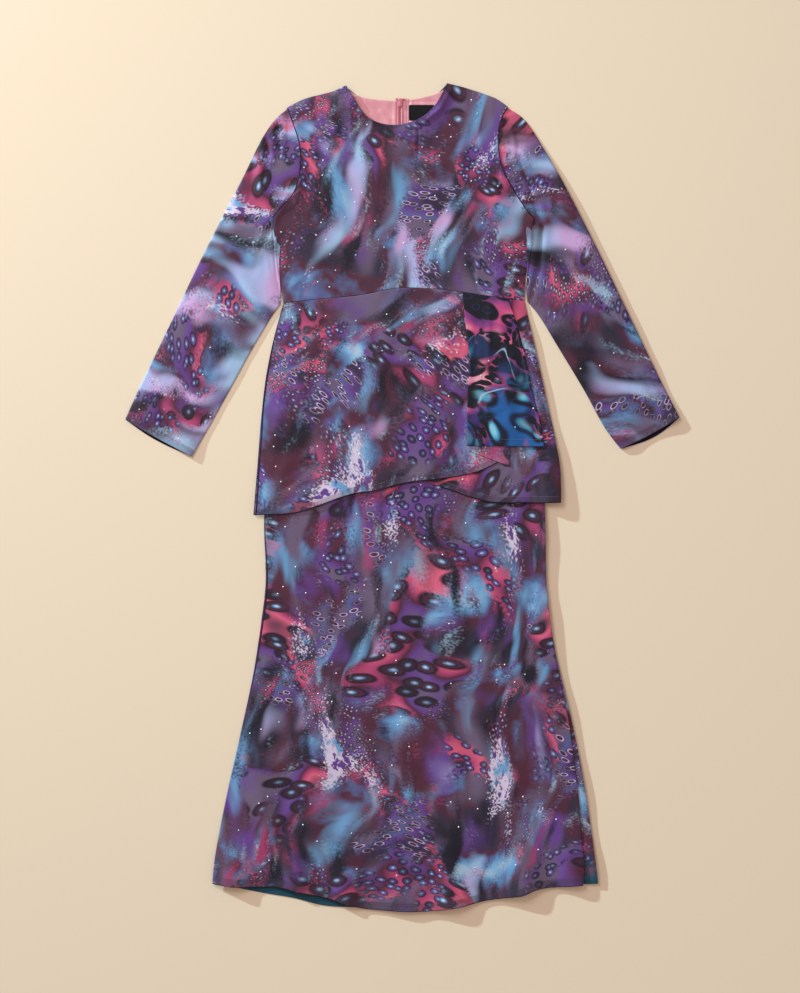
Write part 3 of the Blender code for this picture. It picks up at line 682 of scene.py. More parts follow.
# %% [markdown]
# A sleeve is a tube that lies flat. Its grid goes once round: over the upper side, round the inner fold,
# back along the underside, and round the outer fold. Toward each fold the upper and lower heights close in
# on the middle along a quarter of an ellipse, so the fold is round and not a corner. At the cuff the lower
# side reaches a little further, so its inside shows as a line below the hem, painted dark navy as painted
# shade.


# %% Shell of a flattened tube
FOLD_STEPS = (0.0, 0.4, 1.2, 3.0)


def tube_cloth(node, corners, cells, material, reach, creases=(), waves=(), hem=12.0, rounds=6):
    """An open tube of cloth lying flat, all round. Reach is how far its lower side shows at the cuff."""
    across, along, place, width, tree = grid_on(node, corners, cells, FOLD_STEPS)
    low = dropped(tree, place, from_above=False)
    top = np.maximum(upper_heights(tree, place, rounds, creases, waves, len(node)), low + LOWEST)
    near_fold = np.minimum(across, 1 - across) * width / FOLD_STEPS[-1]
    roundness = np.sqrt(1 - (1 - np.clip(near_fold, 0, 1)) ** 2)[None, :]
    middle = (top + low) / 2
    top = middle + (top - middle) * roundness
    low = np.maximum(middle + (low - middle) * roundness, LOWEST / 2)
    top[0, :] -= EDGE_DROP[0]
    grids[node] = np.dstack([place, top])
    columns = len(across)
    ring = 2 * columns - 2
    double = turned_hem(place, hem)
    bm = bmesh.new()
    doubled = bm.verts.layers.float.new(HEM_ATTRIBUTE)
    bmesh.ops.create_grid(bm, x_segments=ring, y_segments=len(along) - 1, size=1.0)
    inside = set()
    for vertex, (k, j) in cell_of(bm, ring + 1, len(along)).items():
        k %= ring
        i = k if k < columns else ring - k
        x, y = place[j, i]
        if k >= columns and j == 0:
            outward = (place[0, i] - place[1, i]) / TURNED_EDGE[1]
            x, y = place[0, i] + outward * reach * math.sin(math.pi * across[i])
            inside.update(vertex.link_faces)
        vertex.co = Vector((x, y, (top if k < columns else low)[j, i])) * MM
        vertex[doubled] = double[j, i]
    # These faces of the lower side, past the cuff, take the wrong side's dark colour, which is painted shade.
    for face in inside:
        face.material_index = 1
    bmesh.ops.remove_doubles(bm, verts=bm.verts[:], dist=1e-7)
    cloth_piece(node, bm, material, top.max())


# %% Finishes of the panels
ZIP_X = -3.6
crepe_bodice = printed_crepe("printed crepe, bodice", (0.31, 0.12, 0.0), 0.35, paler=0.66)
crepe_sleeve_left = printed_crepe("printed crepe, left sleeve", (1.70, 0.45, 0.0), 1.9, paler=0.53)
crepe_sleeve_right = printed_crepe("printed crepe, right sleeve", (2.60, 1.10, 0.0), -1.2, paler=0.69)
crepe_over = printed_crepe("printed crepe, peplum over layer", (3.35, 0.20, 0.0), 0.8)
crepe_under = printed_crepe("printed crepe, peplum under layer", (4.10, 1.75, 0.0), -0.4)
crepe_skirt = printed_crepe("printed crepe, skirt front", (5.20, 0.90, 0.0), 0.15)
crepe_skirt_back = printed_crepe("printed crepe, skirt back", (6.40, 2.20, 0.0), 2.4, "#17485a")
crepe_dark = dark_crepe("dark printed crepe, side panel", (0.90, 3.10, 0.0), 0.5)

# %% [markdown]
# Where the light is low, the hem shows best that the cloth isn't pressed flat: it stands off the floor in
# a few low waves. Each row lifts a stretch of an edge: its place, how far the wave runs along the hem
# and up the cloth, and its height.


# %% Waves of the hems
# Columns: x, y, half length along the hem, half width up the cloth, height.
SKIRT_WAVES = (
    (-300, -662, 26, 60, 9.0), (-186, -680, 20, 60, 5.0), (-100, -702, 22, 60, 5.0), (6, -712, 26, 50, 2.6),
    (85, -706, 30, 70, 7.0), (205, -685, 32, 75, 7.5), (296, -668, 20, 60, 6.0))
SKIRT_SIDE_WAVES = (
    (252, -60, 28, 90, 3.4), (260, -200, 30, 90, 4.4), (284, -350, 34, 90, 4.2), (318, -500, 36, 90, 4.0),
    (338, -640, 34, 60, 4.4), (-262, -200, 18, 120, 0.8))
OVER_WAVES = (
    (-248, -28, 30, 50, 4.0), (-150, -16, 28, 40, 2.2), (-40, 12, 26, 40, 2.0), (60, 30, 26, 36, 1.4))
UNDER_WAVES = ((262, -8, 26, 60, 7.0), (200, -8, 22, 40, 2.4))
PEPLUM_SIDE_WAVES = ((222, 262, 13, 60, 2.4), (236, 168, 16, 62, 3.0), (260, 80, 20, 60, 3.4))
DRAPE_WAVES = ((240, 92, 26, 60, 3.0), (120, 92, 16, 40, 1.4), (222, 190, 16, 60, 1.6))
BODICE_WAVES = (
    (-97, 706, 13, 15, 5.5), (-84, 686, 11, 14, 4.6), (-70, 664, 12, 12, 3.4), (-54, 652, 12, 8, 1.8),
    (78, 708, 12, 18, 3.0), (62, 682, 10, 14, 1.2), (-226, 478, 14, 12, 2.6), (224, 478, 14, 12, 1.6))
SLEEVE_WAVES = (
    (-462, 128, 26, 50, 3.0), (-372, 80, 22, 50, 3.4), (470, 132, 24, 60, 4.0), (385, 90, 20, 50, 2.0),
    (-330, 440, 40, 120, 1.0), (262, 590, 32, 60, 2.6), (296, 518, 34, 62, 3.4), (328, 446, 34, 60, 3.8),
    (360, 378, 32, 62, 3.5), (394, 308, 34, 60, 3.7), (430, 238, 32, 60, 3.2))

# %% [markdown]
# The creases are listed one by one, each row one soft ridge or trough: both ends, half width, height.

# %% Creases of the pieces
# Columns: x and y of one end, x and y of the other, half width, height.
BODICE_CREASES = (
    (-226, 478, -176, 524, 7, 0.9), (-170, 550, -203, 508, 3.0, 0.7), (-176, 530, -206, 500, 2.5, 0.6),
    (-196, 470, -120, 452, 12, 0.8), (-205, 440, -140, 400, 10, -0.7), (-128, 690, -112, 590, 6, 0.6),
    (-150, 680, -140, 560, 5, -0.5), (-92, 690, -84, 600, 6, 0.5), (26, 648, 27, 578, 1.8, -0.9),
    (22, 646, 22, 600, 3, 0.4), (8, 638, 40, 648, 4, 0.9), (40, 648, 66, 670, 4.5, 1.2),
    (66, 670, 84, 702, 4.5, 1.1), (-92, 700, -70, 664, 3, 0.6), (-70, 664, -34, 642, 3, 0.5),
    (224, 478, 168, 500, 8, 0.9), (215, 440, 140, 430, 12, -0.7), (120, 690, 100, 560, 8, 0.5),
    (-60, 560, -20, 420, 14, 0.6), (80, 560, 60, 400, 14, -0.6), (150, 560, 175, 480, 10, 0.6),
    (-160, 360, -130, 440, 10, 0.6), (40, 362, 55, 430, 8, 0.5))
SLEEVE_CREASES = (
    (-222, 642, -224, 575, 4.5, 1.0), (-214, 644, -211, 586, 4.5, -1.5), (-233, 630, -228, 584, 4.5, -1.2),
    (-243, 612, -246, 550, 6, 1.0), (-255, 590, -262, 520, 6, -0.9), (-204, 655, -203, 590, 4, 1.0),
    (-198, 520, -230, 470, 5, 1.0), (-205, 500, -245, 430, 6, -1.1), (-232, 480, -262, 400, 8, 0.9),
    (-300, 430, -250, 330, 12, 0.9), (-340, 360, -300, 250, 12, -0.9), (-400, 250, -340, 160, 10, 1.0),
    (-430, 180, -390, 110, 10, -0.9), (-280, 520, -300, 430, 12, 0.8), (170, 626, 212, 616, 4, 1.0),
    (168, 612, 204, 600, 4, -1.0), (176, 640, 214, 634, 4, -0.9), (196, 600, 232, 500, 5, -1.4),
    (228, 510, 240, 470, 5, -1.4), (241, 470, 236, 390, 5, -1.6), (236, 400, 222, 340, 5, -1.4),
    (188, 640, 196, 590, 4, 0.7), (206, 520, 224, 420, 6, 0.9), (262, 560, 300, 470, 14, 0.8),
    (255, 430, 300, 380, 12, -0.9), (300, 400, 350, 300, 12, 0.9), (380, 300, 400, 220, 12, -0.8),
    (340, 200, 400, 150, 10, 0.9), (420, 200, 440, 150, 9, -0.7))
OVER_CREASES = (
    (-195, 270, -215, 110, 12, 0.8), (-140, 240, -175, 120, 12, -0.9), (-168, 110, -130, 20, 12, -0.8),
    (-110, 330, -130, 180, 16, 0.8), (-200, 60, -235, -20, 10, 0.8), (-90, 150, -60, 30, 16, 0.8),
    (-20, 320, -40, 200, 14, 0.6), (40, 300, 10, 120, 18, -0.6), (80, 330, 60, 200, 12, 0.7))
SKIRT_CREASES = (
    (-240, -80, -150, -190, 16, 0.9), (-230, -180, -120, -330, 22, -0.9), (-60, -60, -20, -260, 20, 0.8),
    (60, -90, 40, -300, 20, -0.8), (160, -80, 200, -230, 18, 0.8), (226, -160, 150, -330, 18, -0.9),
    (-270, -420, -230, -560, 16, 0.9), (-150, -380, -190, -560, 18, 0.8), (10, -380, -30, -560, 20, 0.7),
    (120, -360, 150, -520, 18, 0.9), (220, -400, 260, -560, 16, 0.9), (-90, -480, -130, -620, 14, -0.8),
    (70, -500, 110, -640, 14, -0.8), (200, -560, 180, -660, 12, -0.8))
DRAPE_CREASES = (
    (150, 330, 148, 230, 5, 0.5), (128, 300, 122, 140, 6, -0.4), (190, 240, 180, 110, 10, 0.6),
    (220, 190, 230, 100, 7, -0.5), (165, 300, 205, 200, 7, 0.5))

# %% [markdown]
# Each piece is given by its solid's four corners, from the bottom left one round to the top left, the
# grid's columns and rows, its finish, and its creases and waves.

# %% Cloth pieces
flat_cloth("bodice_front", ((-205, 335), (210, 339), (182, 672), (-199, 671)), (150, 120),
           crepe_bodice, BODICE_CREASES, BODICE_WAVES)
flat_cloth("bodice_back_left", ((-205, 335), (ZIP_X - 0.3, 361), (ZIP_X - 2.6, 683), (-199, 671)),
           (30, 50), crepe_bodice)
flat_cloth("bodice_back_right", ((ZIP_X + 0.3, 361), (210, 339), (182, 672), (ZIP_X + 2.6, 683)),
           (30, 50), crepe_bodice)
tube_cloth("sleeve_left", ((-477, 135), (-363, 71), (-212, 492), (-196, 671)), (78, 165),
           crepe_sleeve_left, 3.6, SLEEVE_CREASES, SLEEVE_WAVES)
tube_cloth("sleeve_right", ((376, 84), (477, 138), (179, 672), (208, 495)), (78, 165),
           crepe_sleeve_right, 6.5, SLEEVE_CREASES, SLEEVE_WAVES)
flat_cloth("peplum_back", ((-255, -25), (272, -5), (210, 338.7), (-205, 334.7)), (50, 30),
           crepe_bodice, waves=PEPLUM_SIDE_WAVES)
flat_cloth("peplum_front_under", ((-30, 37), (273, -9), (210, 338.5), (-20, 358)), (90, 90),
           crepe_under, waves=UNDER_WAVES + PEPLUM_SIDE_WAVES, hem=11)
flat_cloth("peplum_front_over", ((-256, -30), (165, 61), (150, 345.8), (-205, 334.5)), (130, 110),
           crepe_over, OVER_CREASES, OVER_WAVES, hem=11)
flat_cloth("peplum_cascade", ((113, 81), (185, 54), (184, 122), (112, 128)), (24, 16), crepe_over)
flat_cloth("side_drape", ((111, 89), (244, 88), (181, 342.2), (103, 353.2)), (60, 110),
           crepe_dark, DRAPE_CREASES, DRAPE_WAVES)
flat_cloth("skirt_front", ((-327, -664), (311, -667), (176, 245), (-176, 245)), (130, 190),
           crepe_skirt, SKIRT_CREASES, SKIRT_WAVES + SKIRT_SIDE_WAVES, hem=12)
flat_cloth("skirt_back", ((-327, -664), (337, -664), (177, 245), (-176, 245)), (100, 60),
           crepe_skirt_back, waves=SKIRT_SIDE_WAVES)

# %% [markdown]
# ## The lining, the zip and the label
#
# The lining shows only inside the back neck: polyester satin, whose long floats give it a soft gloss and
# a fine rib along one way. The zip is sewn in between its two halves, and its tapes are dyed to match.
# The crepe's wrong side shows only inside the cuffs, without a print. Though the wrong side itself is paler,
# it is painted dark navy there, as painted shade under the cuff's upper edge.


# %% Finishes at the neck
THREAD_STRETCH = 0.12
WEAVE_WAVES = 0.018


def woven_finish(name, code, deeper, roughness, thread, gloss_way, slow=0.0008, specular=0.5):
    """Woven cloth: thread ribs across one way, a slow unevenness in colour and height."""
    material, shader = new_finish(name, roughness, sheen=0.0, specular=specular)
    here = add(material, "TexCoord").outputs["Object"]
    fine, long = 1 / thread, THREAD_STRETCH / thread
    scale = (fine, long, 1) if gloss_way == "x" else (long, fine, 1)
    along = add(material, "Mapping", {"Scale": scale}, {"Vector": here})
    ribs = add(material, "TexNoise", {"Scale": 1.0, "Detail": 1.0}, {"Vector": along.outputs[0]})
    waves = add(material, "TexNoise", {"Scale": 1 / WEAVE_WAVES, "Detail": 2.0}, {"Vector": here})
    shade = add(material, "MapRange", {"From Min": 0.35, "From Max": 0.65, "To Max": 0.6},
                {"Value": waves.outputs["Fac"]})
    colour = laid(material, code, deeper, shade.outputs["Result"])
    low = add(material, "Bump", {"Strength": 0.5, "Distance": slow}, {"Height": waves.outputs["Fac"]})
    fine = add(material, "Bump", {"Strength": 0.4, "Distance": 0.0002},
               {"Height": ribs.outputs["Fac"], "Normal": low.outputs[0]})
    feed(shader, "Base Color", colour)
    feed(shader, "Normal", fine.outputs[0])
    return material


SATIN_THREAD = 0.0009
TAPE_THREAD = 0.0007
LABEL_THREAD = 0.0006
satin = woven_finish("polyester lining satin", "#e8a1ab", "#ce838e", 0.38, SATIN_THREAD, "x")
tape_weave = woven_finish("woven zip tape", "#d68391", "#c06c7b", 0.6, TAPE_THREAD, "y", 0.0003)
# The right tape is the same dyed tape as the left. Its lighter pink is a painted highlight where its rolled
# welt faces the lamp.
welt_weave_painted_lit = woven_finish("woven zip tape, rolled edge, painted lighter as lit", "#e29aa6", "#cd7f8b", 0.55, TAPE_THREAD, "y", 0.0003)
label_weave = woven_finish("woven damask label, plain", "#121214", "#1b1b1f", 0.6, LABEL_THREAD, "y",
                           0.0003, 0.15)
shaded_wrong_side = woven_finish("wrong side of the crepe, painted dark as shade", "#1a1c36", "#121226", 0.8, SATIN_THREAD, "x",
                          0.0003, 0.1)
# The cuffs' second material is the wrong side painted dark, as painted shade.
for sleeve in ("sleeve_left_cloth", "sleeve_right_cloth"):
    bpy.data.objects[sleeve].data.materials.append(shaded_wrong_side)

# %% [markdown]
# The lining's halves have soft upright folds beside the zip, where the seam draws the satin in. The right
# tape's inner edge is rolled over the teeth as a welt, and so is the left one's, but lower. The right tape
# is painted a lighter pink than the left, as painted light on its welt. The label is a strip folded under
# at both ends, and is left plain.

# %% Lining, tapes and label
LINING_CREASES = (
    (-14, 600, -13, 682, 2.2, 0.4), (-47, 682, -17, 658, 3.0, -0.35), (-57, 680, -40, 668, 3.0, -0.3),
    (-30, 684, -12, 672, 3.5, 0.3), (-36, 664, -18, 640, 4.0, 0.3), (16, 600, 16, 684, 2.0, 0.5),
    (64, 600, 62, 690, 5.0, 0.3), (80, 610, 72, 696, 4.0, -0.3), (10, 682, 60, 681, 2.2, -0.4),
    (10, 678.6, 60, 678.2, 1.8, 0.25))
LEFT_WELT = ((-7.6, 366, -7.6, 687, 0.9, 0.25), (-5.6, 366, -5.6, 687, 0.8, -0.3))
RIGHT_WELT = (
    (-0.8, 366, -0.8, 687, 1.4, 1.0), (2.6, 366, 2.6, 687, 1.2, -0.15), (8.6, 366, 8.6, 687, 0.9, -0.4))
LABEL_CREASES = (
    (13.2, 649, 13.2, 676, 0.8, 0.35), (53.8, 649, 53.8, 676, 0.8, 0.35),
    (14.6, 650, 14.6, 675, 0.5, -0.2), (52.4, 650, 52.4, 675, 0.5, -0.2))
flat_cloth("back_lining_left", ((-104, 600), (-9.3, 600), (-9.3, 683), (-89, 699)), (50, 40), satin,
           LINING_CREASES)
flat_cloth("back_lining_right", ((11.8, 600), (90, 600), (71, 702), (11.8, 684.6)), (42, 44), satin,
           LINING_CREASES)
flat_cloth("zip_tape_left", ((-9, 366), (-5, 366), (-5, 687), (-9, 687)), (6, 90), tape_weave,
           LEFT_WELT, rounds=1)
flat_cloth("zip_tape_right", ((-2.2, 366), (11.5, 366), (11.5, 687), (-2.2, 687)), (18, 90), welt_weave_painted_lit,
           RIGHT_WELT, rounds=1)
flat_cloth("skirt_waistband", ((-176, 246.3), (176, 246.3), (176, 276.3), (-176, 276.3)), (80, 8), satin,
           rounds=1)
flat_cloth("neck_label", ((11, 649), (56, 649), (56, 676), (11, 676)), (44, 26), label_weave,
           LABEL_CREASES, rounds=1)

# %% [markdown]
# The slider and its pull are die-cast zinc, painted to match the tapes. Real paint pools a little in the
# hollows and thins on the edges. Here it is only a little darker in soft random patches. The solid is
# already the right shape, and a small bevel lets its edges catch the light.


# %% Slider and pull
PAINT_POOLS = 0.0025


def paint_on_zinc(name, code, pooled):
    """Gloss paint on a casting, a little darker where it pools."""
    material, shader = new_finish(name, roughness=0.32, specular=0.5)
    shader.inputs["Coat Weight"].default_value = 0.4
    shader.inputs["Coat Roughness"].default_value = 0.15
    here = add(material, "TexCoord").outputs["Object"]
    pools = add(material, "TexNoise", {"Scale": 1 / PAINT_POOLS, "Detail": 2.0}, {"Vector": here})
    shade = add(material, "MapRange", {"From Min": 0.4, "From Max": 0.7}, {"Value": pools.outputs["Fac"]})
    orange_peel = add(material, "Bump", {"Strength": 0.2, "Distance": 0.0001},
                      {"Height": pools.outputs["Fac"]})
    colour = laid(material, code, pooled, shade.outputs["Result"])
    feed(shader, "Base Color", colour)
    feed(shader, "Normal", orange_peel.outputs[0])
    return material


painted_zinc = paint_on_zinc("paint on die-cast zinc", "#d97f8f", "#b9606f")


def metal_piece(node, edge, body):
    """A copy of a metal node with its sharp edges rounded."""
    bm = bmesh.new()
    bm.from_mesh(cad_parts[node].data)
    bmesh.ops.remove_doubles(bm, verts=bm.verts[:], dist=MERGE_DISTANCE)
    bmesh.ops.dissolve_limit(bm, angle_limit=math.radians(1), verts=bm.verts[:], edges=bm.edges[:])
    sharp = [e for e in bm.edges if e.is_manifold and e.calc_face_angle() > math.radians(50)]
    bmesh.ops.bevel(bm, geom=sharp, offset=edge, offset_type="OFFSET", segments=2, profile=0.5,
                    affect="EDGES", material=-1, clamp_overlap=True)
    finished(node + "_painted", bm, painted_zinc, 0, node, body)


metal_piece("zip_slider", 0.0003, "garment")
metal_piece("zip_pull", 0.00015, "pull")

# %% [markdown]
# The chain of a concealed zip is two nylon coils that hook into each other. One tooth is a small rounded
# bar, and a row of them at the real pitch, turned this way and that way by turns, reads as a coil.

# %% Nylon coil
TOOTH_PITCH = 1.25
TOOTH_SIZE = (0.75, 0.42, 0.34)
TOOTH_ASIDE = 0.4
TOOTH_TURN = 0.3
nylon, nylon_shader = new_finish("dyed nylon coil", roughness=0.35, specular=0.5)
nylon_here = add(nylon, "TexCoord").outputs["Object"]
nylon_tint = add(nylon, "TexNoise", {"Scale": 1 / 0.003}, {"Vector": nylon_here})
feed(nylon_shader, "Base Color", laid(nylon, "#c9707f", "#b25d6d", nylon_tint.outputs["Fac"]))


def coil_teeth(foot, top, height):
    """Teeth along the zip's line, in millimetres, as one mesh on the chain's solid."""
    bm = bmesh.new()
    count = int((top - foot) / TOOTH_PITCH)
    for k in range(count):
        side = 1 if k % 2 else -1
        place = Matrix.Translation(Vector((ZIP_X + side * TOOTH_ASIDE, foot + k * TOOTH_PITCH, height)) * MM)
        turned = place @ Matrix.Rotation(side * TOOTH_TURN, 4, "Z")
        shaped = turned @ Matrix.Diagonal((*(size * MM for size in TOOTH_SIZE), 1))
        bmesh.ops.create_icosphere(bm, subdivisions=1, radius=1.0, matrix=shaped)
    print("zip teeth:", count)
    finished("zip_coil_teeth", bm, nylon, 0, None)


coil_teeth(foot=366.6, top=684.0, height=2.9)
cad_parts["zip_chain"].data.materials.clear()
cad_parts["zip_chain"].data.materials.append(nylon)

# %% [markdown]
# At the neck the two tapes end in small folds that stand a little above the edge. Each is a ball pressed
# flat and pushed about by a slow noise, so that it looks like folded cloth.

# %% Folded ends of the tapes
# Columns: x, y, turn.
TAPE_ENDS = ((-9.8, 685.6, 0.5), (2.2, 685.8, -0.4))
TAPE_END_SIZE = (2.3, 1.9, 0.9)
CRUMPLE_SIZE = 1.6
CRUMPLE_DEPTH = 0.5


def tape_ends(height):
    """Two small folds of tape, in millimetres, as one mesh."""
    bm = bmesh.new()
    for x, y, turn in TAPE_ENDS:
        place = Matrix.Translation(Vector((x, y, height)) * MM) @ Matrix.Rotation(turn, 4, "Z")
        shape = Matrix.Diagonal((*(size * MM for size in TAPE_END_SIZE), 1))
        bmesh.ops.create_icosphere(bm, subdivisions=3, radius=1.0, matrix=place @ shape)
    for vertex in bm.verts:
        vertex.co += CRUMPLE_DEPTH * MM * noise.noise_vector(vertex.co / (CRUMPLE_SIZE * MM))
    finished("zip_tape_ends", bm, tape_weave, 0, None)


tape_ends(height=3.4)

# %% [markdown]
# ## Hems and seams
#
# A turned hem is held by a row of machine stitches a centimetre up from the edge. Each stitch is a short
# bar of thread, 2.4 mm long, sunk a little into the cloth. A line is found inside one edge of the cloth's
# grid, and the stitches are set along it.


# %% Lines on the cloth
def line_inside(node, side, offset, start=0.0, end=1.0):
    """A line on the cloth, so many millimetres inside one of its edges, from one share to another."""
    grid = grids[node]
    if side in ("left", "right"):
        grid = grid.transpose(1, 0, 2)
    if side in ("top", "right"):
        grid = grid[::-1]
    count = grid.shape[1]
    points = []
    for column in range(int(start * (count - 1)), int(end * (count - 1)) + 1):
        chain = grid[:, column]
        stops = np.concatenate([[0.0], np.cumsum(np.linalg.norm(np.diff(chain[:, :2], axis=0), axis=1))])
        k = int(np.searchsorted(stops, offset)) - 1
        s = (offset - stops[k]) / (stops[k + 1] - stops[k])
        points.append(chain[k] * (1 - s) + chain[k + 1] * s)
    return np.array(points)


def along_line(points, pitch):
    """Evenly spaced places and headings along a line."""
    runs = np.diff(points, axis=0)
    sizes = np.linalg.norm(runs, axis=1)
    stops = np.concatenate([[0.0], np.cumsum(sizes)])
    for at in np.arange(pitch, stops[-1] - pitch, pitch):
        k = min(int(np.searchsorted(stops, at)) - 1, len(sizes) - 1)
        heading = runs[k] / sizes[k]
        yield points[k] + heading * (at - stops[k]), heading


# %% Topstitching
STITCH_PITCH = 3.1
STITCH_LENGTH = 2.4
STITCH_WIDTH = 0.55


def thread_finish(name, code, deeper):
    """Spun polyester thread: matt, with a twist that shows as a fine unevenness."""
    material, shader = new_finish(name, roughness=0.6, sheen=0.2, specular=0.3)
    here = add(material, "TexCoord").outputs["Object"]
    twist = add(material, "TexNoise", {"Scale": 1 / 0.0008}, {"Vector": here})
    feed(shader, "Base Color", laid(material, code, deeper, twist.outputs["Fac"]))
    return material


plum_thread = thread_finish("spun polyester thread, plum", "#3a3145", "#1f1a28")
mauve_thread = thread_finish("spun polyester thread, mauve", "#a08db0", "#6b5a7c")


def stitched(name, material, lines):
    """A piece of all the stitches along some lines. A line is a row of what line_inside asks for."""
    shape = Matrix.Diagonal((STITCH_LENGTH / 2 * MM, STITCH_WIDTH / 2 * MM, STITCH_WIDTH / 2 * MM, 1))
    bm = bmesh.new()
    for line in lines:
        for place, heading in along_line(line_inside(*line), STITCH_PITCH):
            turn = Vector(heading).to_track_quat("X", "Z").to_matrix().to_4x4()
            stitch = Matrix.Translation(Vector(place) * MM) @ turn @ shape
            bmesh.ops.create_icosphere(bm, subdivisions=1, radius=1.0, matrix=stitch)
    obj = finished(name, bm, material, 0, None)
    print(f"{name}: {len(obj.data.polygons)} faces")


stitched("skirt_hem_stitches", plum_thread,
         (("skirt_front", "bottom", 9), ("skirt_front", "bottom", 13)))
stitched("peplum_hem_stitches", mauve_thread,
         (("peplum_front_over", "bottom", 11), ("peplum_cascade", "bottom", 5),
          ("peplum_front_under", "bottom", 11, 0.3)))
stitched("drape_stitches", mauve_thread, (("side_drape", "bottom", 12), ("side_drape", "right", 5)))
stitched("cuff_stitches", plum_thread, (("sleeve_left", "bottom", 12), ("sleeve_right", "bottom", 12)))
stitched("neck_stitches", plum_thread, (("bodice_front", "top", 3, 0.28, 0.72),))
stitched("label_stitches", plum_thread, (("neck_label", "left", 1.4), ("neck_label", "right", 1.4)))

# %% [markdown]
# A pressed seam is a narrow ditch that holds a dark line of shadow. At this size that shadow is painted: a
# near-black strip of cloth, about a millimetre wide, laid in the ditch. The edge of a turned hem gets the
# same painted shadow strip, and the sheer crepe also lies double there, which makes it darker of itself. On
# the left side the back panel's crepe rolls over the front's edge in a strip that is a few millimetres wide
# and
# uneven. It is plain dark crepe: a single sheer layer, painted darker with the shade that lies under it.

# %% Seam lines
STRIP_POINTS = 60
STRIP_LIFT = 0.00012
STRIP_THICKNESS = 0.0001
seam_shadow_cloth = woven_finish("painted shadow in the seam's ditch", "#17131d", "#221b2a", 0.8, 0.0008, "x", 0.0002, 0.1)
edge_crepe_shaded = woven_finish("single crepe at the rolled side, with painted shade", "#422d4c", "#2a2036", 0.7, 0.0009, "x",
                          0.0002, 0.15)


def seam_line(name, line, widths, cloth=seam_shadow_cloth, outside=0.5):
    """A strip on whatever cloth lies along a line of line_inside. Outside is its share left of the line."""
    chain = places(line_inside(*line), np.linspace(0, 1, STRIP_POINTS))
    last = STRIP_POINTS - 1
    bm = bmesh.new()
    bmesh.ops.create_grid(bm, x_segments=1, y_segments=last, size=1.0)
    skins = list(shells.values())
    for vertex, (i, j) in cell_of(bm, 2, STRIP_POINTS).items():
        run = (chain[min(j + 1, last)] - chain[max(j - 1, 0)])[:2]
        aside = np.array((run[1], -run[0])) / np.linalg.norm(run)
        width = np.interp(j / last, np.linspace(0, 1, len(widths)), widths)
        x, y = (chain[j, :2] + aside * (i - outside) * width) * MM
        hits = [skin.ray_cast(Vector((x, y, 1.0)), Vector((0, 0, -1)))[0] for skin in skins]
        top = max([hit.z for hit in hits if hit] + [chain[j, 2] * MM])
        vertex.co = Vector((x, y, top + STRIP_LIFT))
    finished(name, bm, cloth, STRIP_THICKNESS, None)


# The two side strips are real rolled crepe, painted darker than it is: painted shade under a single sheer
# layer.
seam_line("peplum_side_layer_left", ("peplum_front_over", "left", 0.4, 0.0, 0.86),
          (5.4, 5.0, 3.6, 4.2, 2.6, 3.4, 2.2, 0.8), edge_crepe_shaded, 0.0)
seam_line("skirt_side_layer_left", ("skirt_front", "left", 0.4, 0.33, 0.72),
          (0.6, 2.2, 3.4, 4.0, 2.8, 1.8, 0.8), edge_crepe_shaded, 0.0)
# The lines below are painted shadow, in the seams' ditches and along the hems' turned edges.
seam_line("armhole_seam_left", ("bodice_front", "left", 1.2, 0.42, 0.99), (1.5,))
seam_line("armhole_seam_right", ("bodice_front", "right", 1.2, 0.42, 0.99), (1.3,))
seam_line("peplum_hem_edge", ("peplum_front_over", "bottom", 0.7), (1.1,))
seam_line("peplum_side_edge_left", ("peplum_front_over", "left", 0.7, 0.02, 0.97), (1.0,))
seam_line("peplum_hem_edge_under", ("peplum_front_under", "bottom", 0.7, 0.32, 1.0), (1.3,))
seam_line("skirt_hem_edge", ("skirt_front", "bottom", 0.6), (0.9,))

# %% [markdown]
# ## Stones
#
# Glass stones, 3 mm across, are glued over the print by heat, thickest on the blouse. They are scattered
# by chance but never closer than a finger's width, which is how a sewer scatters them by eye. A stone is
# a flat cone of eight facets with its tip cut off.

# %% Hot-fix stones
STONE_RADIUS = 1.35
STONE_HEIGHT = 0.9
STONE_GAP = 15.0
MOST_TRIES = 4000
STONE_COUNTS = {
    "bodice_front": 52, "peplum_front_over": 46, "peplum_front_under": 4, "side_drape": 3,
    "skirt_front": 72, "sleeve_left": 8, "sleeve_right": 8}
# The stones' white base colour is a painted glint: a diffuse white stands in for the bright reflection of
# their foil backs. A few are pale cyan.
glass, glass_shader = new_finish("foiled glass stones, painted white glint", roughness=0.12, specular=0.8)
glass_here = add(glass, "TexCoord").outputs["Object"]
glass_tint = add(glass, "TexVoronoi", {"Scale": 1 / 0.05, "Randomness": 1.0}, {"Vector": glass_here})
glass_part = add(glass, "SeparateColor", {}, {"Color": glass_tint.outputs["Color"]})
glass_mask = add(glass, "MapRange", {"From Min": 0.70, "From Max": 0.72}, {"Value": glass_part.outputs[0]})
feed(glass_shader, "Base Color", laid(glass, "#f7f5fa", "#a9dcec", glass_mask.outputs["Result"]))


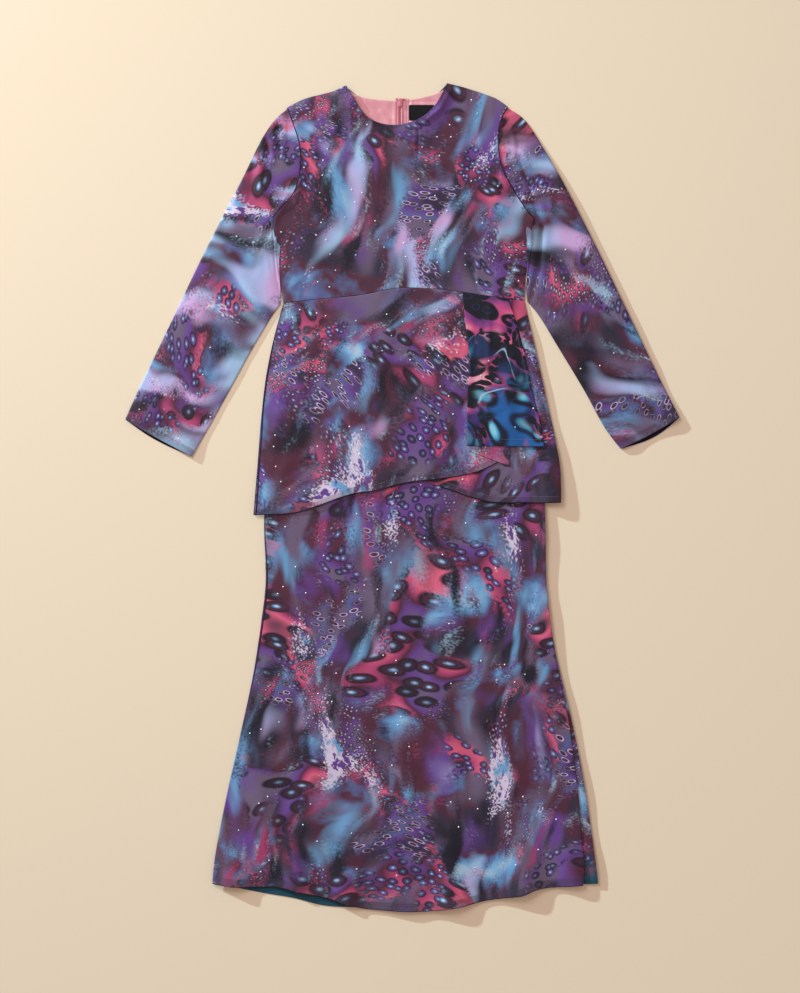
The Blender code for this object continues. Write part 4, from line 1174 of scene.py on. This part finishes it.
def scatter_stones(seed):
    """All the stones as one mesh, each on the cloth that shows at its place."""
    chance = random.Random(seed)
    taken = []
    bm = bmesh.new()
    skins = [shells[name] for name in shells if not name.startswith("zip")]
    for node, count in STONE_COUNTS.items():
        grid = grids[node]
        placed = tries = 0
        while placed < count and tries < MOST_TRIES:
            tries += 1
            j, i = chance.randrange(6, grid.shape[0] - 6), chance.randrange(5, grid.shape[1] - 5)
            spot = Vector(grid[j, i]) + Vector((chance.uniform(-2, 2), chance.uniform(-2, 2), 0))
            above = [skin.ray_cast(Vector((spot.x, spot.y, 900)) * MM, Vector((0, 0, -1)))[0]
                     for skin in skins]
            top = max(hit.z for hit in above if hit) / MM
            if top > spot.z + 0.5 or any((spot - other).length < STONE_GAP for other in taken):
                continue
            taken.append(spot)
            placed += 1
            place = Matrix.Translation(Vector((spot.x, spot.y, top + STONE_HEIGHT / 2)) * MM)
            bmesh.ops.create_cone(bm, cap_ends=True, segments=8, radius1=STONE_RADIUS * MM,
                                  radius2=STONE_RADIUS * 0.5 * MM, depth=STONE_HEIGHT * MM,
                                  matrix=place @ Matrix.Rotation(chance.uniform(0, 3), 4, "Z"))
    obj = finished("stones", bm, glass, 0, None)
    for face in obj.data.polygons:
        face.use_smooth = False
    print("stones:", len(taken))


scatter_stones(7)

# %% [markdown]
# ## How the pieces lie
#
# Every piece lies flat, on the piece below it or on the floor. Most of these pieces are not rectangles, so
# each cloth piece prints its own area as it is made.


# %% [markdown]
# ## Floor and light
#
# The garment lies on a plain, pale, matt floor. One low lamp from the upper left draws the short crisp
# shadows that show how thin the cloth is. Even light from all round fills them, a little warmer because it
# has bounced off pale walls, and a large soft lamp brightens the upper left.

# %% Floor
FLOOR_HALF = 8.0
FLOOR_LEVEL = -0.0003


def lay_floor():
    bm = bmesh.new()
    bmesh.ops.create_grid(bm, x_segments=1, y_segments=1, size=FLOOR_HALF)
    bmesh.ops.translate(bm, verts=bm.verts[:], vec=(0, 0, FLOOR_LEVEL))
    mesh = bpy.data.meshes.new("floor")
    bm.to_mesh(mesh)
    bm.free()
    material, shader = new_finish("matt cream paper", roughness=0.9, specular=0.1)
    shader.inputs["Base Color"].default_value = linear("#efddc3")
    mesh.materials.append(material)
    floor = bpy.data.objects.new("floor", mesh)
    bpy.context.collection.objects.link(floor)


lay_floor()

# %% Light
FILL_COLOUR = (0.744, 0.586, 0.539, 1.0)
FILL_STRENGTH = 0.66
SUN_COLOUR = (0.64, 0.92, 1.0)
SUN_HEIGHT = math.radians(12.5)
SUN_WIDTH = math.radians(1.5)
SUN_WAY = Vector((0.79, -0.61))
SUN_SHARE = 0.295
WINDOW_COLOUR = (0.92, 0.97, 1.0)
WINDOW_POWER = 34.0
WINDOW_SIZE = 1.2
WINDOW_PLACE = (-1.5, 1.5, 1.9)
WINDOW_WAY = Vector((1.0, -1.0, -1.3))


def lamp_of(name, kind, energy, colour, way):
    """A lamp that shines along a direction."""
    lamp = bpy.data.lights.new(name, kind)
    lamp.energy = energy
    lamp.color = colour
    holder = bpy.data.objects.new(name, lamp)
    holder.rotation_mode = "QUATERNION"
    holder.rotation_quaternion = way.to_track_quat("-Z", "Y")
    bpy.context.collection.objects.link(holder)
    return holder


def light_scene():
    scene = bpy.context.scene
    scene.view_settings.view_transform = "Standard"
    world = bpy.data.worlds.new("studio")
    world.use_nodes = True
    fill = world.node_tree.nodes["Background"]
    fill.inputs["Color"].default_value = FILL_COLOUR
    fill.inputs["Strength"].default_value = FILL_STRENGTH
    scene.world = world
    sun_way = Vector((*(SUN_WAY * math.cos(SUN_HEIGHT)), -math.sin(SUN_HEIGHT)))
    sun = lamp_of("key", "SUN", SUN_SHARE * math.pi / math.sin(SUN_HEIGHT), SUN_COLOUR, sun_way)
    sun.data.angle = SUN_WIDTH
    window = lamp_of("window", "AREA", WINDOW_POWER, WINDOW_COLOUR, WINDOW_WAY)
    window.data.size = WINDOW_SIZE
    window.location = WINDOW_PLACE


light_scene()
